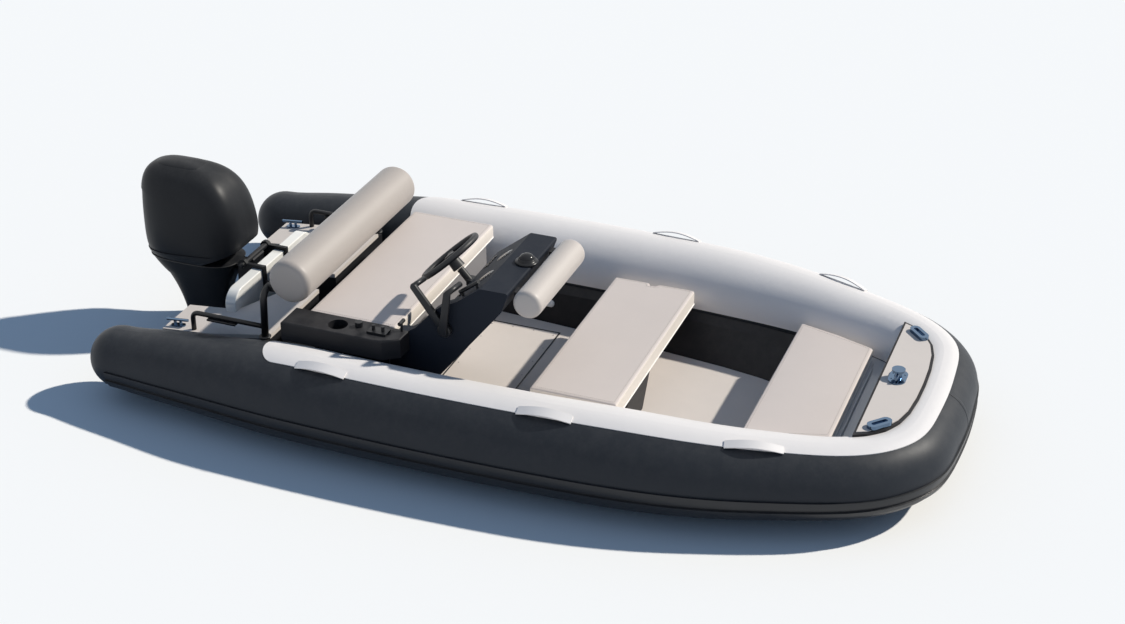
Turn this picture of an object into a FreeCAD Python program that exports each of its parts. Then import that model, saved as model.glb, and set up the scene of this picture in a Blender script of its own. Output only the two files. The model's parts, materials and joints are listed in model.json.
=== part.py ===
"""Parametric source of an inflatable boat with an outboard engine, in millimetres.

Frame: +X to the bow, +Y to port, +Z up.  The waterline is z = 0 and the origin lies
on it at mid-length, so the tube, the seats and the engine all share one datum.
"""
import FreeCAD
import Part
import Sketcher

import math
import os
import re

V = FreeCAD.Vector

DOC = FreeCAD.newDocument("inflatable_boat")
SHEET = DOC.addObject("Spreadsheet::Sheet", "dim")
DIM = {}


def setting(alias, value):
    """Write one driving dimension into the sheet under its alias."""
    row = len(DIM) + 1
    SHEET.set("A%d" % row, alias)
    SHEET.set("B%d" % row, repr(value))
    SHEET.setAlias("B%d" % row, alias)
    DIM[alias] = float(value)
    return float(value)


# Driving dimensions of the tube
TUBE_R = setting("tube_radius", 208)
TUBE_BOW_R = setting("tube_bow_radius", 161)
TUBE_STERN_R = setting("tube_stern_radius", 143)
TUBE_Z = setting("tube_axis_height", 216)
BOW_SAG = setting("tube_bow_sag", 6)
STERN_SAG = setting("tube_stern_sag", 26)
CONE_X = setting("stern_cone_start", -950)
SKIN_T = setting("skin_thickness", 3)
SKIN_OUT = setting("skin_outboard_turn", 24)
SKIN_END_X = setting("skin_aft_end", -950)
SKIN_TIP = setting("skin_tip_length", 95)
STRAKE_TOP = setting("strake_top_turn", 92)
STRAKE_FOOT = setting("strake_foot_turn", 128)
STRAKE_T = setting("strake_thickness", 8)
BEAD_T = setting("strake_bead_height", 16)

# Driving dimensions of the hull and the cockpit
FLOOR_Z = setting("floor_height", 20)
FLOOR_T = setting("floor_thickness", 18)
KEEL_Z = setting("keel_depth", -175)
TRANSOM_X = setting("transom_aft_face", -1485)
TRANSOM_T = setting("transom_thickness", 55)
TRANSOM_W = setting("transom_width", 750)
TRANSOM_TOP = setting("transom_height", 386)
TRANSOM_R = setting("transom_corner_radius", 75)
LEDGE_Z = setting("ledge_height", 203)
LEDGE_DROP = setting("ledge_bevel_drop", 44)
LEDGE_W = setting("ledge_bevel_width", 34)
WALL_LEAN = setting("liner_wall_lean", 38)
HATCH_AFT = setting("hatch_aft_edge", -500)
HATCH_FWD = setting("hatch_fore_edge", -128)
HATCH_HALF = setting("hatch_half_width", 440)
SEAM = setting("hatch_seam", 7)

# Driving dimensions of the seats
SEAT_L = setting("mid_seat_length", 395)
SEAT_W = setting("mid_seat_width", 1100)
SEAT_T = setting("mid_seat_thickness", 76)
SEAT_X = setting("mid_seat_aft_edge", 110)
SEAT_TOP = setting("mid_seat_top", 320)
BENCH_L = setting("bench_length", 422)
BENCH_W = setting("bench_width", 1095)
BENCH_T = setting("bench_thickness", 72)
BENCH_X = setting("bench_aft_edge", -943)
BENCH_TOP = setting("bench_top", 485)
PANEL_TOP = setting("bench_panel_top", 384)
PANEL_X = setting("bench_panel_face", -552)
BOW_SEAT_X = setting("bow_seat_aft_edge", 1036)
BOW_SEAT_L = setting("bow_seat_length", 361)
BOW_SEAT_AFT = setting("bow_seat_aft_width", 1024)
BOW_SEAT_FWD = setting("bow_seat_fore_width", 794)
BOW_SEAT_TOP = setting("bow_seat_top", 276)
BOW_SEAT_T = setting("bow_seat_thickness", 56)
LID_T = setting("locker_lid_thickness", 14)
WALL = setting("locker_wall", 20)
EDGE = setting("cushion_edge_radius", 9)
BOLSTER_R = setting("console_bolster_radius", 65)
BOLSTER_L = setting("console_bolster_length", 550)
ROLL_R = setting("backrest_roll_radius", 102)
ROLL_L = setting("backrest_roll_length", 1124)
ROLL_X = setting("backrest_roll_x", -1034)
ROLL_Z = setting("backrest_roll_z", 608)
ROLL_EDGE = setting("roll_edge_radius", 30)

# Driving dimensions of the helm
HELM_S = setting("helm_outboard_y", -560)
HELM_P = setting("helm_inboard_y", 15)
HELM_TOP = setting("helm_top", 760)
HELM_WALL = setting("helm_wall_thickness", 50)
SHELF_TOP = setting("shelf_top", 488)
SHELF_DEEP = setting("shelf_depth", 92)
CUP_R = setting("cup_radius", 44)
CUP_DEEP = setting("cup_depth", 70)
WHEEL_R = setting("wheel_radius", 143)
RIM_R = setting("wheel_rim_radius", 14)
WHEEL_TILT = setting("wheel_tilt", 42)
WHEEL_X = setting("wheel_centre_x", -378)
WHEEL_Y = setting("wheel_centre_y", -268)
WHEEL_Z = setting("wheel_centre_z", 727)

# Driving dimensions of the aft deck
DECK_AFT_Z = setting("deck_aft_height", 265)
DECK_FWD_Z = setting("deck_fore_height", 320)
DECK_AFT_X = setting("deck_aft_edge", -1700)
DECK_FWD_X = setting("deck_fore_edge", -1150)
DECK_PAD_T = setting("deck_pad_thickness", 20)
RAIL_R = setting("rail_radius", 12)
RAIL_Y = setting("rail_half_spacing", 572)
RAIL_Z = setting("rail_height", 371)
RAIL_AFT_X = setting("rail_aft_leg", -1535)
STEP_TOP = setting("bow_step_height", 378)
STEP_DEEP = setting("bow_step_depth", 36)
STEP_PAD_T = setting("bow_step_pad_thickness", 4)

# Driving dimensions of the engine
TILT_X = setting("tilt_axis_x", -1530)
TILT_Z = setting("tilt_axis_z", 398)
STEER_X = setting("steering_axis_x", -1600)
SWIVEL_R = setting("swivel_tube_radius", 30)
PROP_X = setting("propeller_x", -2022)
PROP_Z = setting("propeller_axis_z", -325)
PROP_R = setting("propeller_radius", 132)
PITCH = setting("propeller_pitch", 330)
COWL_L = setting("cowl_length", 540)
COWL_W = setting("cowl_width", 330)
COWL_X = setting("cowl_centre_x", -1835)
COWL_FOOT = setting("cowl_foot", 352)
COWL_TOP = setting("cowl_top", 820)
COWL_T = setting("cowl_wall", 8)

GAP = setting("rest_gap", 0.4)
PIN_GAP = setting("pin_gap", 0.08)


def bind(text):
    """Turn sheet aliases inside an expression into references to the sheet."""
    return re.sub(r"[A-Za-z_][A-Za-z_0-9]*",
                  lambda m: "dim." + m.group(0) if m.group(0) in DIM else m.group(0), str(text))


def worth(text):
    """Return the number that an expression over the sheet's aliases stands for."""
    if isinstance(text, (int, float)):
        return float(text)
    tokens = re.findall(r"[A-Za-z_][A-Za-z_0-9]*|\d+\.?\d*|[-+*/()]", text)
    tokens.append("")

    def factor():
        token = tokens.pop(0)
        if token in ("-", "+"):
            return factor() if token == "+" else -factor()
        if token == "(":
            value = total()
            tokens.pop(0)
            return value
        return DIM[token] if token in DIM else float(token)

    def product():
        value = factor()
        while tokens[0] in ("*", "/"):
            value = value * factor() if tokens.pop(0) == "*" else value / factor()
        return value

    def total():
        value = product()
        while tokens[0] in ("+", "-"):
            value = value + product() if tokens.pop(0) == "+" else value - product()
        return value

    return total()


PARTS = []


def keep(obj, name):
    """Name an object and list it as a node of the boat."""
    obj.Label = name
    PARTS.append(obj)
    return obj


def solid(name, shape):
    """Add a node whose form comes from shape functions that read the sheet."""
    obj = DOC.addObject("Part::Feature", name)
    obj.Shape = shape
    return keep(obj, name)


def set_all(obj, **texts):
    """Bind several properties of an object to expressions."""
    for prop, text in texts.items():
        obj.setExpression(prop.replace("Base_", "Placement.Base."), bind(text))
    return obj


def box(name, sx, sy, sz, x, y, z, node=True):
    """Add a box bound to the sheet; x, y and z place its low corner."""
    obj = DOC.addObject("Part::Box", name)
    set_all(obj, Length=sx, Width=sy, Height=sz, Base_x=x, Base_y=y, Base_z=z)
    return keep(obj, name) if node else obj


def drum(name, radius, length, x, y, z, edge):
    """Add a cylinder across the boat, bound to the sheet, with rounded ends."""
    core = DOC.addObject("Part::Cylinder", name + "_core")
    turn = FreeCAD.Rotation(V(1, 0, 0), -90)
    core.Placement = FreeCAD.Placement(V(worth(x), worth(y), worth(z)), turn)
    set_all(core, Radius=radius, Height=length, Base_x=x, Base_y=y, Base_z=z)
    DOC.recompute()
    obj = DOC.addObject("Part::Fillet", name)
    obj.Base = core
    rims = [i for i, e in enumerate(core.Shape.Edges, 1) if e.isClosed() and len(e.Vertexes) == 1]
    obj.Edges = [(i, worth(edge), worth(edge)) for i in rims]
    DOC.recompute()
    return keep(obj, name)


def plane_of(body, role):
    """Return one of the body's own origin planes."""
    for feature in body.Origin.OriginFeatures:
        if feature.Role == role:
            return feature
    raise ValueError(role)


def sketch_on(body, name, role, offset=0):
    """Lay an empty sketch on an origin plane of the body."""
    sk = body.newObject("Sketcher::SketchObject", name)
    sk.AttachmentSupport = [(plane_of(body, role), "")]
    sk.MapMode = "FlatFace"
    if offset:
        sk.setExpression("AttachmentOffset.Base.z", bind(offset))
    return sk


def polygon(sk, points):
    """Draw a closed polygon whose corners are bound to sheet expressions."""
    values = [(worth(a), worth(b)) for a, b in points]
    count = len(values)
    for i in range(count):
        a, b = values[i], values[(i + 1) % count]
        sk.addGeometry(Part.LineSegment(V(a[0], a[1], 0), V(b[0], b[1], 0)), False)
    for i in range(count):
        sk.addConstraint(Sketcher.Constraint("Coincident", i, 2, (i + 1) % count, 1))
    for i, (a, b) in enumerate(points):
        for kind, text, value, axis in (("DistanceX", a, values[i][0], -2), ("DistanceY", b, values[i][1], -1)):
            if abs(value) < 1e-9:
                sk.addConstraint(Sketcher.Constraint("PointOnObject", i, 1, axis))
                continue
            n = sk.addConstraint(Sketcher.Constraint(kind, -1, 1, i, 1, value))
            if isinstance(text, str):
                sk.setExpression("Constraints[%d]" % n, bind(text))
    return sk


def ring(sk, a, b, radius):
    """Draw a circle whose centre and radius are bound to sheet expressions."""
    sk.addGeometry(Part.Circle(V(worth(a), worth(b), 0), V(0, 0, 1), worth(radius)), False)
    for kind, text in (("DistanceX", a), ("DistanceY", b)):
        n = sk.addConstraint(Sketcher.Constraint(kind, -1, 1, 0, 3, worth(text)))
        if isinstance(text, str):
            sk.setExpression("Constraints[%d]" % n, bind(text))
    n = sk.addConstraint(Sketcher.Constraint("Radius", 0, worth(radius)))
    sk.setExpression("Constraints[%d]" % n, bind(radius))
    return sk


def new_body(name):
    """Start a body."""
    return DOC.addObject("PartDesign::Body", name + "_body")


def add_pad(body, name, role, points, length, offset=0, midplane=False):
    """Pad a bound polygon onto a body."""
    feat = body.newObject("PartDesign::Pad", name + "_pad")
    feat.Profile = polygon(sketch_on(body, name + "_outline", role, offset), points)
    feat.setExpression("Length", bind(length))
    feat.Midplane = midplane
    body.Tip = feat
    DOC.recompute()
    return feat


def add_pocket(body, name, sk, depth, flip=False):
    """Cut a sketch into a body to a bound depth."""
    feat = body.newObject("PartDesign::Pocket", name)
    feat.Profile = sk
    feat.setExpression("Length", bind(depth))
    feat.Reversed = flip
    body.Tip = feat
    DOC.recompute()
    return feat


def rounded(body, name, chooser, radius):
    """Fillet chosen edges of a body's tip."""
    tip = body.Tip
    feat = body.newObject("PartDesign::Fillet", name)
    feat.Base = (tip, ["Edge%d" % i for i in chooser(tip.Shape)])
    feat.setExpression("Radius", bind(radius))
    body.Tip = feat
    DOC.recompute()
    return feat


def edges_where(test):
    """Return a chooser of the edges whose middle passes a test."""
    def chooser(shape):
        out = []
        for i, edge in enumerate(shape.Edges, 1):
            middle = edge.valueAt((edge.FirstParameter + edge.LastParameter) / 2)
            if test(middle, edge):
                out.append(i)
        return out
    return chooser


def mirrored(shape):
    """Return the shape's mirror image across the centre plane."""
    return shape.mirror(V(0, 0, 0), V(0, 1, 0))


def both(shape):
    """Join a port shape with its starboard mirror image."""
    return Part.makeCompound([shape, mirrored(shape)])


def slab(points, y0, y1):
    """Extrude an XZ polygon between two widths."""
    pts = [V(x, y0, z) for x, z in points]
    return Part.Face(Part.makePolygon(pts + [pts[0]])).extrude(V(0, y1 - y0, 0))


def plate(points, z0, z1):
    """Extrude an XY polygon between two heights."""
    pts = [V(x, y, z0) for x, y in points]
    return Part.Face(Part.makePolygon(pts + [pts[0]])).extrude(V(0, 0, z1 - z0))


def rod(a, b, radius):
    """Return a cylinder between two points."""
    return Part.makeCylinder(radius, (b - a).Length, a, b - a)


def bent_tube(points, bend, radius):
    """Sweep a circle along a path whose corners are rounded by a bend radius."""
    path = []
    start = points[0]
    for before, corner, after in zip(points[:-2], points[1:-1], points[2:]):
        back = (before - corner).normalize()
        on = (after - corner).normalize()
        half = back.getAngle(on) / 2
        reach = bend / math.tan(half)
        inner = (back + on).normalize()
        first, last = corner + back * reach, corner + on * reach
        middle = corner + inner * (bend / math.sin(half) - bend)
        path.append(Part.LineSegment(start, first).toShape())
        path.append(Part.Arc(first, middle, last).toShape())
        start = last
    path.append(Part.LineSegment(start, points[-1]).toShape())
    circle = Part.Wire([Part.makeCircle(radius, points[0], points[1] - points[0])])
    return Part.Wire(path).makePipeShell([circle], True, False)


# The tube's axis in plan: half-breadths at stations from the bow to the port stern
AXIS_ROWS = [(1742, 0), (1728, 265), (1687, 421), (1616, 505), (1500, 582), (1300, 654), (1000, 731),
             (600, 783), (0, 813), (-330, 817), (-1050, 800), (-1800, 771)]


def build_axis():
    """Interpolate the axis from the starboard stern round the bow to the port stern."""
    port = [V(x, y, 0) for x, y in AXIS_ROWS]
    starboard = [V(x, -y, 0) for x, y in reversed(AXIS_ROWS[1:])]
    curve = Part.BSplineCurve()
    curve.interpolate(starboard + port)
    return curve


AXIS = build_axis()
HALF = AXIS.length() / 2


class Station:
    """A place along the tube: its plan point, heading, radius and axis height.

    Station 0 is the bow's centre; positive stations run down the port side.
    """

    def __init__(self, reach):
        reach = max(-HALF, min(HALF, reach))
        u = AXIS.parameterAtDistance(HALF + reach, AXIS.FirstParameter)
        self.point = AXIS.value(u)
        onward = AXIS.tangent(u)[0]
        self.onward = V(onward.x, onward.y, 0).normalize()
        self.inboard = V(-self.onward.y, self.onward.x, 0)
        bow = 1 - smooth((self.point.x - 500) / (AXIS_ROWS[0][0] - 500.0))
        stern = max(0.0, (CONE_X - self.point.x) / (CONE_X - AXIS_ROWS[-1][0]))
        full = TUBE_BOW_R + (TUBE_R - TUBE_BOW_R) * bow
        self.radius = full + (TUBE_STERN_R - TUBE_R) * stern
        self.height = TUBE_Z - BOW_SAG * (1 - bow) - STERN_SAG * stern

    def at(self, turn_deg, grow=0.0):
        """Return a point on the tube; turn 0 is the crest, positive turns inboard."""
        turn = math.radians(turn_deg)
        r = self.radius + grow
        p = self.point + self.inboard * (r * math.sin(turn))
        return V(p.x, p.y, self.height + r * math.cos(turn))

    def inside(self, offset, z):
        """Return a point at a plan distance inboard of the axis and at a height."""
        p = self.point + self.inboard * offset
        return V(p.x, p.y, z)

    def circle(self, grow=0.0):
        """Return the section circle, seamed at the crest."""
        edge = Part.makeCircle(self.radius + grow)
        crest = V(0, 0, 1)
        turn = FreeCAD.Rotation(crest, self.onward.cross(crest), self.onward, "ZXY")
        edge.Placement = FreeCAD.Placement(V(self.point.x, self.point.y, self.height), turn)
        return Part.Wire([edge])


def smooth(share):
    """Ease a share between 0 and 1."""
    share = max(0.0, min(1.0, share))
    return share * share * (3 - 2 * share)


def reach_of(x, offset=0.0):
    """Return the port station where the axis, moved inboard by an offset, passes an x."""
    low, high = 0.0, HALF
    for _ in range(40):
        middle = (low + high) / 2
        if Station(middle).inside(offset, 0).x > x:
            low = middle
        else:
            high = middle
    return (low + high) / 2


def half_width(x, offset):
    """Return the half-breadth at an x of the axis moved inboard by an offset."""
    return Station(reach_of(x, offset)).inside(offset, 0).y


RINGS = 21
LOOP = [HALF * k / float(RINGS) for k in range(-RINGS, RINGS + 1)]


def tube_form(grow):
    """Loft the tube round the hull, with domed stern ends, grown by a clearance."""
    body = Part.makeLoft([Station(s).circle(grow) for s in LOOP], True, False)
    for side in (-1, 1):
        end = Station(side * HALF)
        dome = Part.makeSphere(end.radius + grow, V(end.point.x, end.point.y, end.height), end.onward * side,
                               0, 90, 360)
        body = body.fuse(dome)
    return body


def band(places, turn_a, turn_b, low, high, ruled=False):
    """Loft a thin shell along part of the tube; the turns may follow the place."""
    sections = []
    for s in places:
        here = Station(s)
        a = turn_a(s) if callable(turn_a) else turn_a
        b = turn_b(s) if callable(turn_b) else turn_b
        inner = [here.at(t, low) for t in (a, (a + b) / 2, b)]
        outer = [here.at(t, high) for t in (b, (a + b) / 2, a)]
        sections.append(Part.Wire([Part.Arc(*inner).toShape(), Part.LineSegment(inner[2], outer[0]).toShape(),
                                   Part.Arc(*outer).toShape(), Part.LineSegment(outer[2], inner[0]).toShape()]))
    return Part.makeLoft(sections, True, ruled)


# The tube is two air chambers that meet at a glued seam on the centre plane
TUBE_ROOM = tube_form(SKIN_T + GAP)
solid("air_tube", both(tube_form(0).common(Part.makeBox(6000, 3000, 2000, V(-3000, GAP, -1000)))))

# White skin over the tube's crest and inner side, with rounded aft tips
SKIN_END = reach_of(SKIN_END_X)
SKIN_LOW = TUBE_Z - 8


def skin_edge(s, share):
    """Return a point of the skin's plan edge: share 0 is its outer edge, 1 its inner one."""
    here = Station(s)
    out = here.radius * math.sin(math.radians(SKIN_OUT))
    return here.inside(-out + (here.radius + out) * share, 0)


def spline(points):
    """Return an edge through points."""
    curve = Part.BSplineCurve()
    curve.interpolate(points)
    return curve.toShape()


def skin_region():
    """Build the block, seen from above, inside which the tube wears its skin."""
    tips = []
    for side in (1, -1):
        tip = []
        for k in range(9):
            turn = math.pi * k / 8
            tip.append(skin_edge(side * (SKIN_END + SKIN_TIP * math.sin(turn)), (1 - math.cos(turn)) / 2))
        tips.append(tip)
    rim = [skin_edge(s, 0) for s in [-SKIN_END] + [s for s in LOOP if abs(s) < SKIN_END - 60] + [SKIN_END]]
    edges = [spline(rim), spline(tips[0]), Part.LineSegment(tips[0][-1], tips[1][-1]).toShape(),
             spline(tips[1][::-1])]
    block = Part.Face(Part.Wire(edges)).extrude(V(0, 0, 400))
    block.translate(V(0, 0, SKIN_LOW))
    return block


skin = tube_form(SKIN_T).cut(tube_form(GAP)).common(skin_region())
solid("tube_skin", skin)

# Rub strake with its bead, low on the outer side
strake = band(LOOP, -STRAKE_FOOT, -STRAKE_TOP, -4, STRAKE_T)
bead = band(LOOP, -(STRAKE_TOP + 22), -(STRAKE_TOP + 15), STRAKE_T - 1, BEAD_T)
solid("rub_strake", strake.fuse(bead).cut(tube_form(GAP)))

# Grab handles: flat straps that arch off the crest between two glued feet
HANDLE_X = (-711, 304, 1148)
HANDLE_L = 235
HANDLE_TURNS = (-15.5, -26.5)
HANDLE_LIFT = 20


def strap(x_at):
    """Build one handle as an arched strap."""
    middle = reach_of(x_at)
    rows = []
    for k in range(9):
        u = k / 8.0
        here = Station(middle + (u - 0.5) * HANDLE_L)
        lift = SKIN_T + 2 * GAP + 5 + HANDLE_LIFT * math.sin(math.pi * u)
        corners = [here.at(HANDLE_TURNS[0], lift), here.at(HANDLE_TURNS[1], lift),
                   here.at(HANDLE_TURNS[1], lift - 5), here.at(HANDLE_TURNS[0], lift - 5)]
        rows.append(Part.makePolygon(corners + [corners[0]]))
    return Part.makeLoft(rows, True, False)


straps = [strap(x) for x in HANDLE_X]
solid("grab_handles", Part.makeCompound(straps + [mirrored(s) for s in straps]))

# Vee hull below the floor: keel, chines and an edge that follows the tube
FLOOR_LOW = FLOOR_Z - FLOOR_T
HULL_ROWS = [(TRANSOM_X, KEEL_Z, -22, 0.93), (-600, KEEL_Z, -20, 0.93), (300, KEEL_Z, -18, 0.92),
             (800, KEEL_Z + 18, -14, 0.86), (1150, KEEL_Z + 58, -10, 0.76), (1400, KEEL_Z + 105, -6, 0.6),
             (1560, KEEL_Z + 145, -4, 0.4), (1635, KEEL_Z + 166, -2, 0.25)]


def hull_ring(x, keel, chine, share):
    """Return one closed section of the hull."""
    edge = half_width(x, TUBE_R * 0.5)
    rim = [V(x, edge, FLOOR_LOW - GAP), V(x, edge * share + 8, chine)]
    other = [V(p.x, -p.y, p.z) for p in reversed(rim)]
    pts = rim + [V(x, 0, keel)] + other
    return Part.makePolygon(pts + [pts[0]])


solid("hull_bottom", Part.makeLoft([hull_ring(*row) for row in HULL_ROWS], True, True).cut(TUBE_ROOM))

# Transom board with rounded upper corners
body = new_body("transom_board")
add_pad(body, "transom", "YZ_Plane",
        [("-transom_width/2", "floor_height"), ("transom_width/2", "floor_height"),
         ("transom_width/2", "transom_height"), ("-transom_width/2", "transom_height")],
        "transom_thickness", offset="transom_aft_face")
rounded(body, "transom_corners", edges_where(
    lambda m, e: abs(m.z - TRANSOM_TOP) < 1 and abs(abs(m.y) - TRANSOM_W / 2) < 1), "transom_corner_radius")
rounded(body, "transom_edges", edges_where(
    lambda m, e: m.z > FLOOR_Z + 60 and abs(m.x - TRANSOM_X - TRANSOM_T / 2) > 20), 5)
keep(body, "transom_board")

# Cockpit liner: the dark side walls with their bevelled ledge, scribed to the tube
FOOT_ROWS = [(-1425, 262), (-476, 279), (-88, 310), (404, 345), (886, 366), (1030, 374)]
LINER_TO = 1024


def foot_offset(x):
    """Return how far the wall's foot lies inboard of the tube's axis."""
    rows = FOOT_ROWS
    x = max(rows[0][0], min(rows[-1][0], x))
    for (xa, a), (xb, b) in zip(rows[:-1], rows[1:]):
        if x <= xb:
            return a + (b - a) * (x - xa) / float(xb - xa)
    return rows[-1][1]


def liner_ring(s):
    """Return one section of the wall across the tube's axis."""
    here = Station(s)
    foot = foot_offset(here.point.x)
    grow = SKIN_T + GAP
    top = [here.at(t, -6) for t in (94, 118, 148)]
    reach = (here.radius + grow) * math.sin(math.radians(94))
    ledge = here.inside(reach + LEDGE_W, LEDGE_Z - LEDGE_DROP)
    wall = [here.inside(foot, FLOOR_LOW), ledge]
    low = here.inside((here.radius - 6) * math.sin(math.radians(148)), FLOOR_LOW)
    return Part.Wire([Part.LineSegment(wall[0], wall[1]).toShape(), Part.LineSegment(wall[1], top[0]).toShape(),
                      Part.Arc(*top).toShape(), Part.LineSegment(top[2], low).toShape(),
                      Part.LineSegment(low, wall[0]).toShape()])


liner_from, liner_to = reach_of(LINER_TO, 370), reach_of(-1420)
liner_rings = [liner_ring(liner_from + (liner_to - liner_from) * k / 9.0) for k in range(10)]
liner = Part.makeLoft(liner_rings, True, False).cut(TUBE_ROOM)
liner = max(liner.Solids, key=lambda s: s.Volume)
WALLS = both(liner)
solid("cockpit_liner", WALLS)

# Floor inside the walls, with an access panel between its seams
floor_x = [-1420, -1000, -476, -88, 404, 700, 886, 1020]
floor_edge = [(x, half_width(x, foot_offset(x) + GAP + 1.6)) for x in floor_x]
floor = plate(floor_edge + [(x, -y) for x, y in reversed(floor_edge)], FLOOR_LOW, FLOOR_Z)
hatch_top = Part.makeBox(HATCH_FWD - HATCH_AFT, 2 * HATCH_HALF, FLOOR_T, V(HATCH_AFT, -HATCH_HALF, FLOOR_Z - 10))
solid("cockpit_floor", floor.cut(hatch_top))
solid("floor_access_panel", Part.makeBox(HATCH_FWD - HATCH_AFT - 2 * SEAM, 2 * (HATCH_HALF - SEAM), 10 - GAP,
                                         V(HATCH_AFT + SEAM, -HATCH_HALF + SEAM, FLOOR_Z - 10 + GAP)))

# Bow moulding: hollow locker, its deck and the walls scribed to the tube
BOW_DECK = BOW_SEAT_TOP - BOW_SEAT_T - LID_T - 3 * GAP
LOCKER_AFT = BOW_SEAT_X + 6
bow_x = [LOCKER_AFT, 1200, 1350, 1470, 1560, 1610]
bow_rim = [(x, half_width(x, 100)) for x in bow_x] + [(1640, 0)]
bow_form = plate(bow_rim + [(x, -y) for x, y in reversed(bow_rim[:-1])], FLOOR_LOW, BOW_DECK)
inset = [(LOCKER_AFT + WALL, 372), (1200, 352), (1372, 300), (1372, -300), (1200, -352), (LOCKER_AFT + WALL, -372)]
locker = bow_form.cut(TUBE_ROOM).cut(WALLS).cut(plate(inset, FLOOR_LOW + WALL, BOW_DECK + 10))
solid("bow_locker_base", locker.removeSplitter())

LID_Z = "bow_seat_top-bow_seat_thickness-locker_lid_thickness-2*rest_gap"
body = new_body("bow_locker_lid")
add_pad(body, "lid", "XY_Plane",
        [("bow_seat_aft_edge+8", "-bow_seat_aft_width/2+24"),
         ("bow_seat_aft_edge+bow_seat_length+12", "-bow_seat_fore_width/2+24"),
         ("bow_seat_aft_edge+bow_seat_length+12", "bow_seat_fore_width/2-24"),
         ("bow_seat_aft_edge+8", "bow_seat_aft_width/2-24")], "locker_lid_thickness", offset=LID_Z)
LID_HINGE_X = BOW_SEAT_X + BOW_SEAT_L + 15
barrel = body.newObject("PartDesign::Pad", "hinge_barrel")
barrel.Profile = ring(sketch_on(body, "barrel_ring", "XZ_Plane", 0), LID_HINGE_X,
                      BOW_SEAT_TOP - BOW_SEAT_T - LID_T / 2 - 2 * GAP, 7)
barrel.Length = 640
barrel.Midplane = True
body.Tip = barrel
keep(body, "bow_locker_lid")


def top_rim(height):
    """Return a chooser of the edges lying at a height."""
    return edges_where(lambda m, e: abs(m.z - height) < 0.01)


# Seats
body = new_body("bow_seat_cushion")
add_pad(body, "bow_seat", "XY_Plane",
        [("bow_seat_aft_edge", "-bow_seat_aft_width/2"),
         ("bow_seat_aft_edge+bow_seat_length/2", "-bow_seat_aft_width/4-bow_seat_fore_width/4-9"),
         ("bow_seat_aft_edge+bow_seat_length", "-bow_seat_fore_width/2"),
         ("bow_seat_aft_edge+bow_seat_length", "bow_seat_fore_width/2"),
         ("bow_seat_aft_edge+bow_seat_length/2", "bow_seat_aft_width/4+bow_seat_fore_width/4+9"),
         ("bow_seat_aft_edge", "bow_seat_aft_width/2")],
        "bow_seat_thickness", offset="bow_seat_top-bow_seat_thickness")
rounded(body, "bow_seat_edge", top_rim(BOW_SEAT_TOP), "cushion_edge_radius")
keep(body, "bow_seat_cushion")

body = new_body("mid_seat_cushion")
add_pad(body, "mid_seat", "XY_Plane",
        [("mid_seat_aft_edge", "-mid_seat_width/2"), ("mid_seat_aft_edge+mid_seat_length", "-mid_seat_width/2"),
         ("mid_seat_aft_edge+mid_seat_length", "mid_seat_width/2"), ("mid_seat_aft_edge+222", "mid_seat_width/2"),
         ("mid_seat_aft_edge+212", "mid_seat_width/2-24"), ("mid_seat_aft_edge+180", "mid_seat_width/2-24"),
         ("mid_seat_aft_edge+170", "mid_seat_width/2"), ("mid_seat_aft_edge", "mid_seat_width/2")],
        "mid_seat_thickness", offset="mid_seat_top-mid_seat_thickness")
rounded(body, "mid_seat_edge", edges_where(
    lambda m, e: abs(m.z - SEAT_TOP) < 0.01 and e.Length > 100), "cushion_edge_radius")
keep(body, "mid_seat_cushion")

body = new_body("mid_seat_pedestal")
add_pad(body, "pedestal", "XZ_Plane",
        [("mid_seat_aft_edge+70", "floor_height+rest_gap"), ("mid_seat_aft_edge+357", "floor_height+rest_gap"),
         ("mid_seat_aft_edge+mid_seat_length-6", "mid_seat_top-mid_seat_thickness-rest_gap"),
         ("mid_seat_aft_edge+40", "mid_seat_top-mid_seat_thickness-rest_gap")], 330, offset=56)
rounded(body, "pedestal_corners", edges_where(lambda m, e: abs(m.z - 130) < 30 and e.Length > 200), 22)
keep(body, "mid_seat_pedestal")

box("bench_cushion_slab", "bench_length", "bench_width", "bench_thickness", "bench_aft_edge", "-bench_width/2",
    "bench_top-bench_thickness", node=False)
DOC.recompute()
bench = DOC.addObject("Part::Fillet", "bench_cushion")
bench.Base = DOC.getObject("bench_cushion_slab")
bench.Edges = [(i, EDGE, EDGE) for i in top_rim(BENCH_TOP)(bench.Base.Shape)]
keep(bench, "bench_cushion")

body = new_body("bench_base")
add_pad(body, "bench_base", "XZ_Plane",
        [("deck_fore_edge+2", "floor_height+rest_gap"), ("bench_panel_face-18", "floor_height+rest_gap"),
         ("bench_panel_face-18", "bench_panel_top"), ("bench_panel_face-34", "bench_panel_top"),
         ("bench_panel_face-34", "bench_top-bench_thickness-rest_gap"),
         ("bench_aft_edge+6", "bench_top-bench_thickness-rest_gap"), ("bench_aft_edge+6", 236),
         ("deck_fore_edge+2", 236)], 1064, midplane=True)
keep(body, "bench_base")
box("bench_front_panel", "17.2", 1056, "bench_panel_top-floor_height-2*rest_gap", "bench_panel_face-17.6", -528,
    "floor_height+rest_gap")

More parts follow.
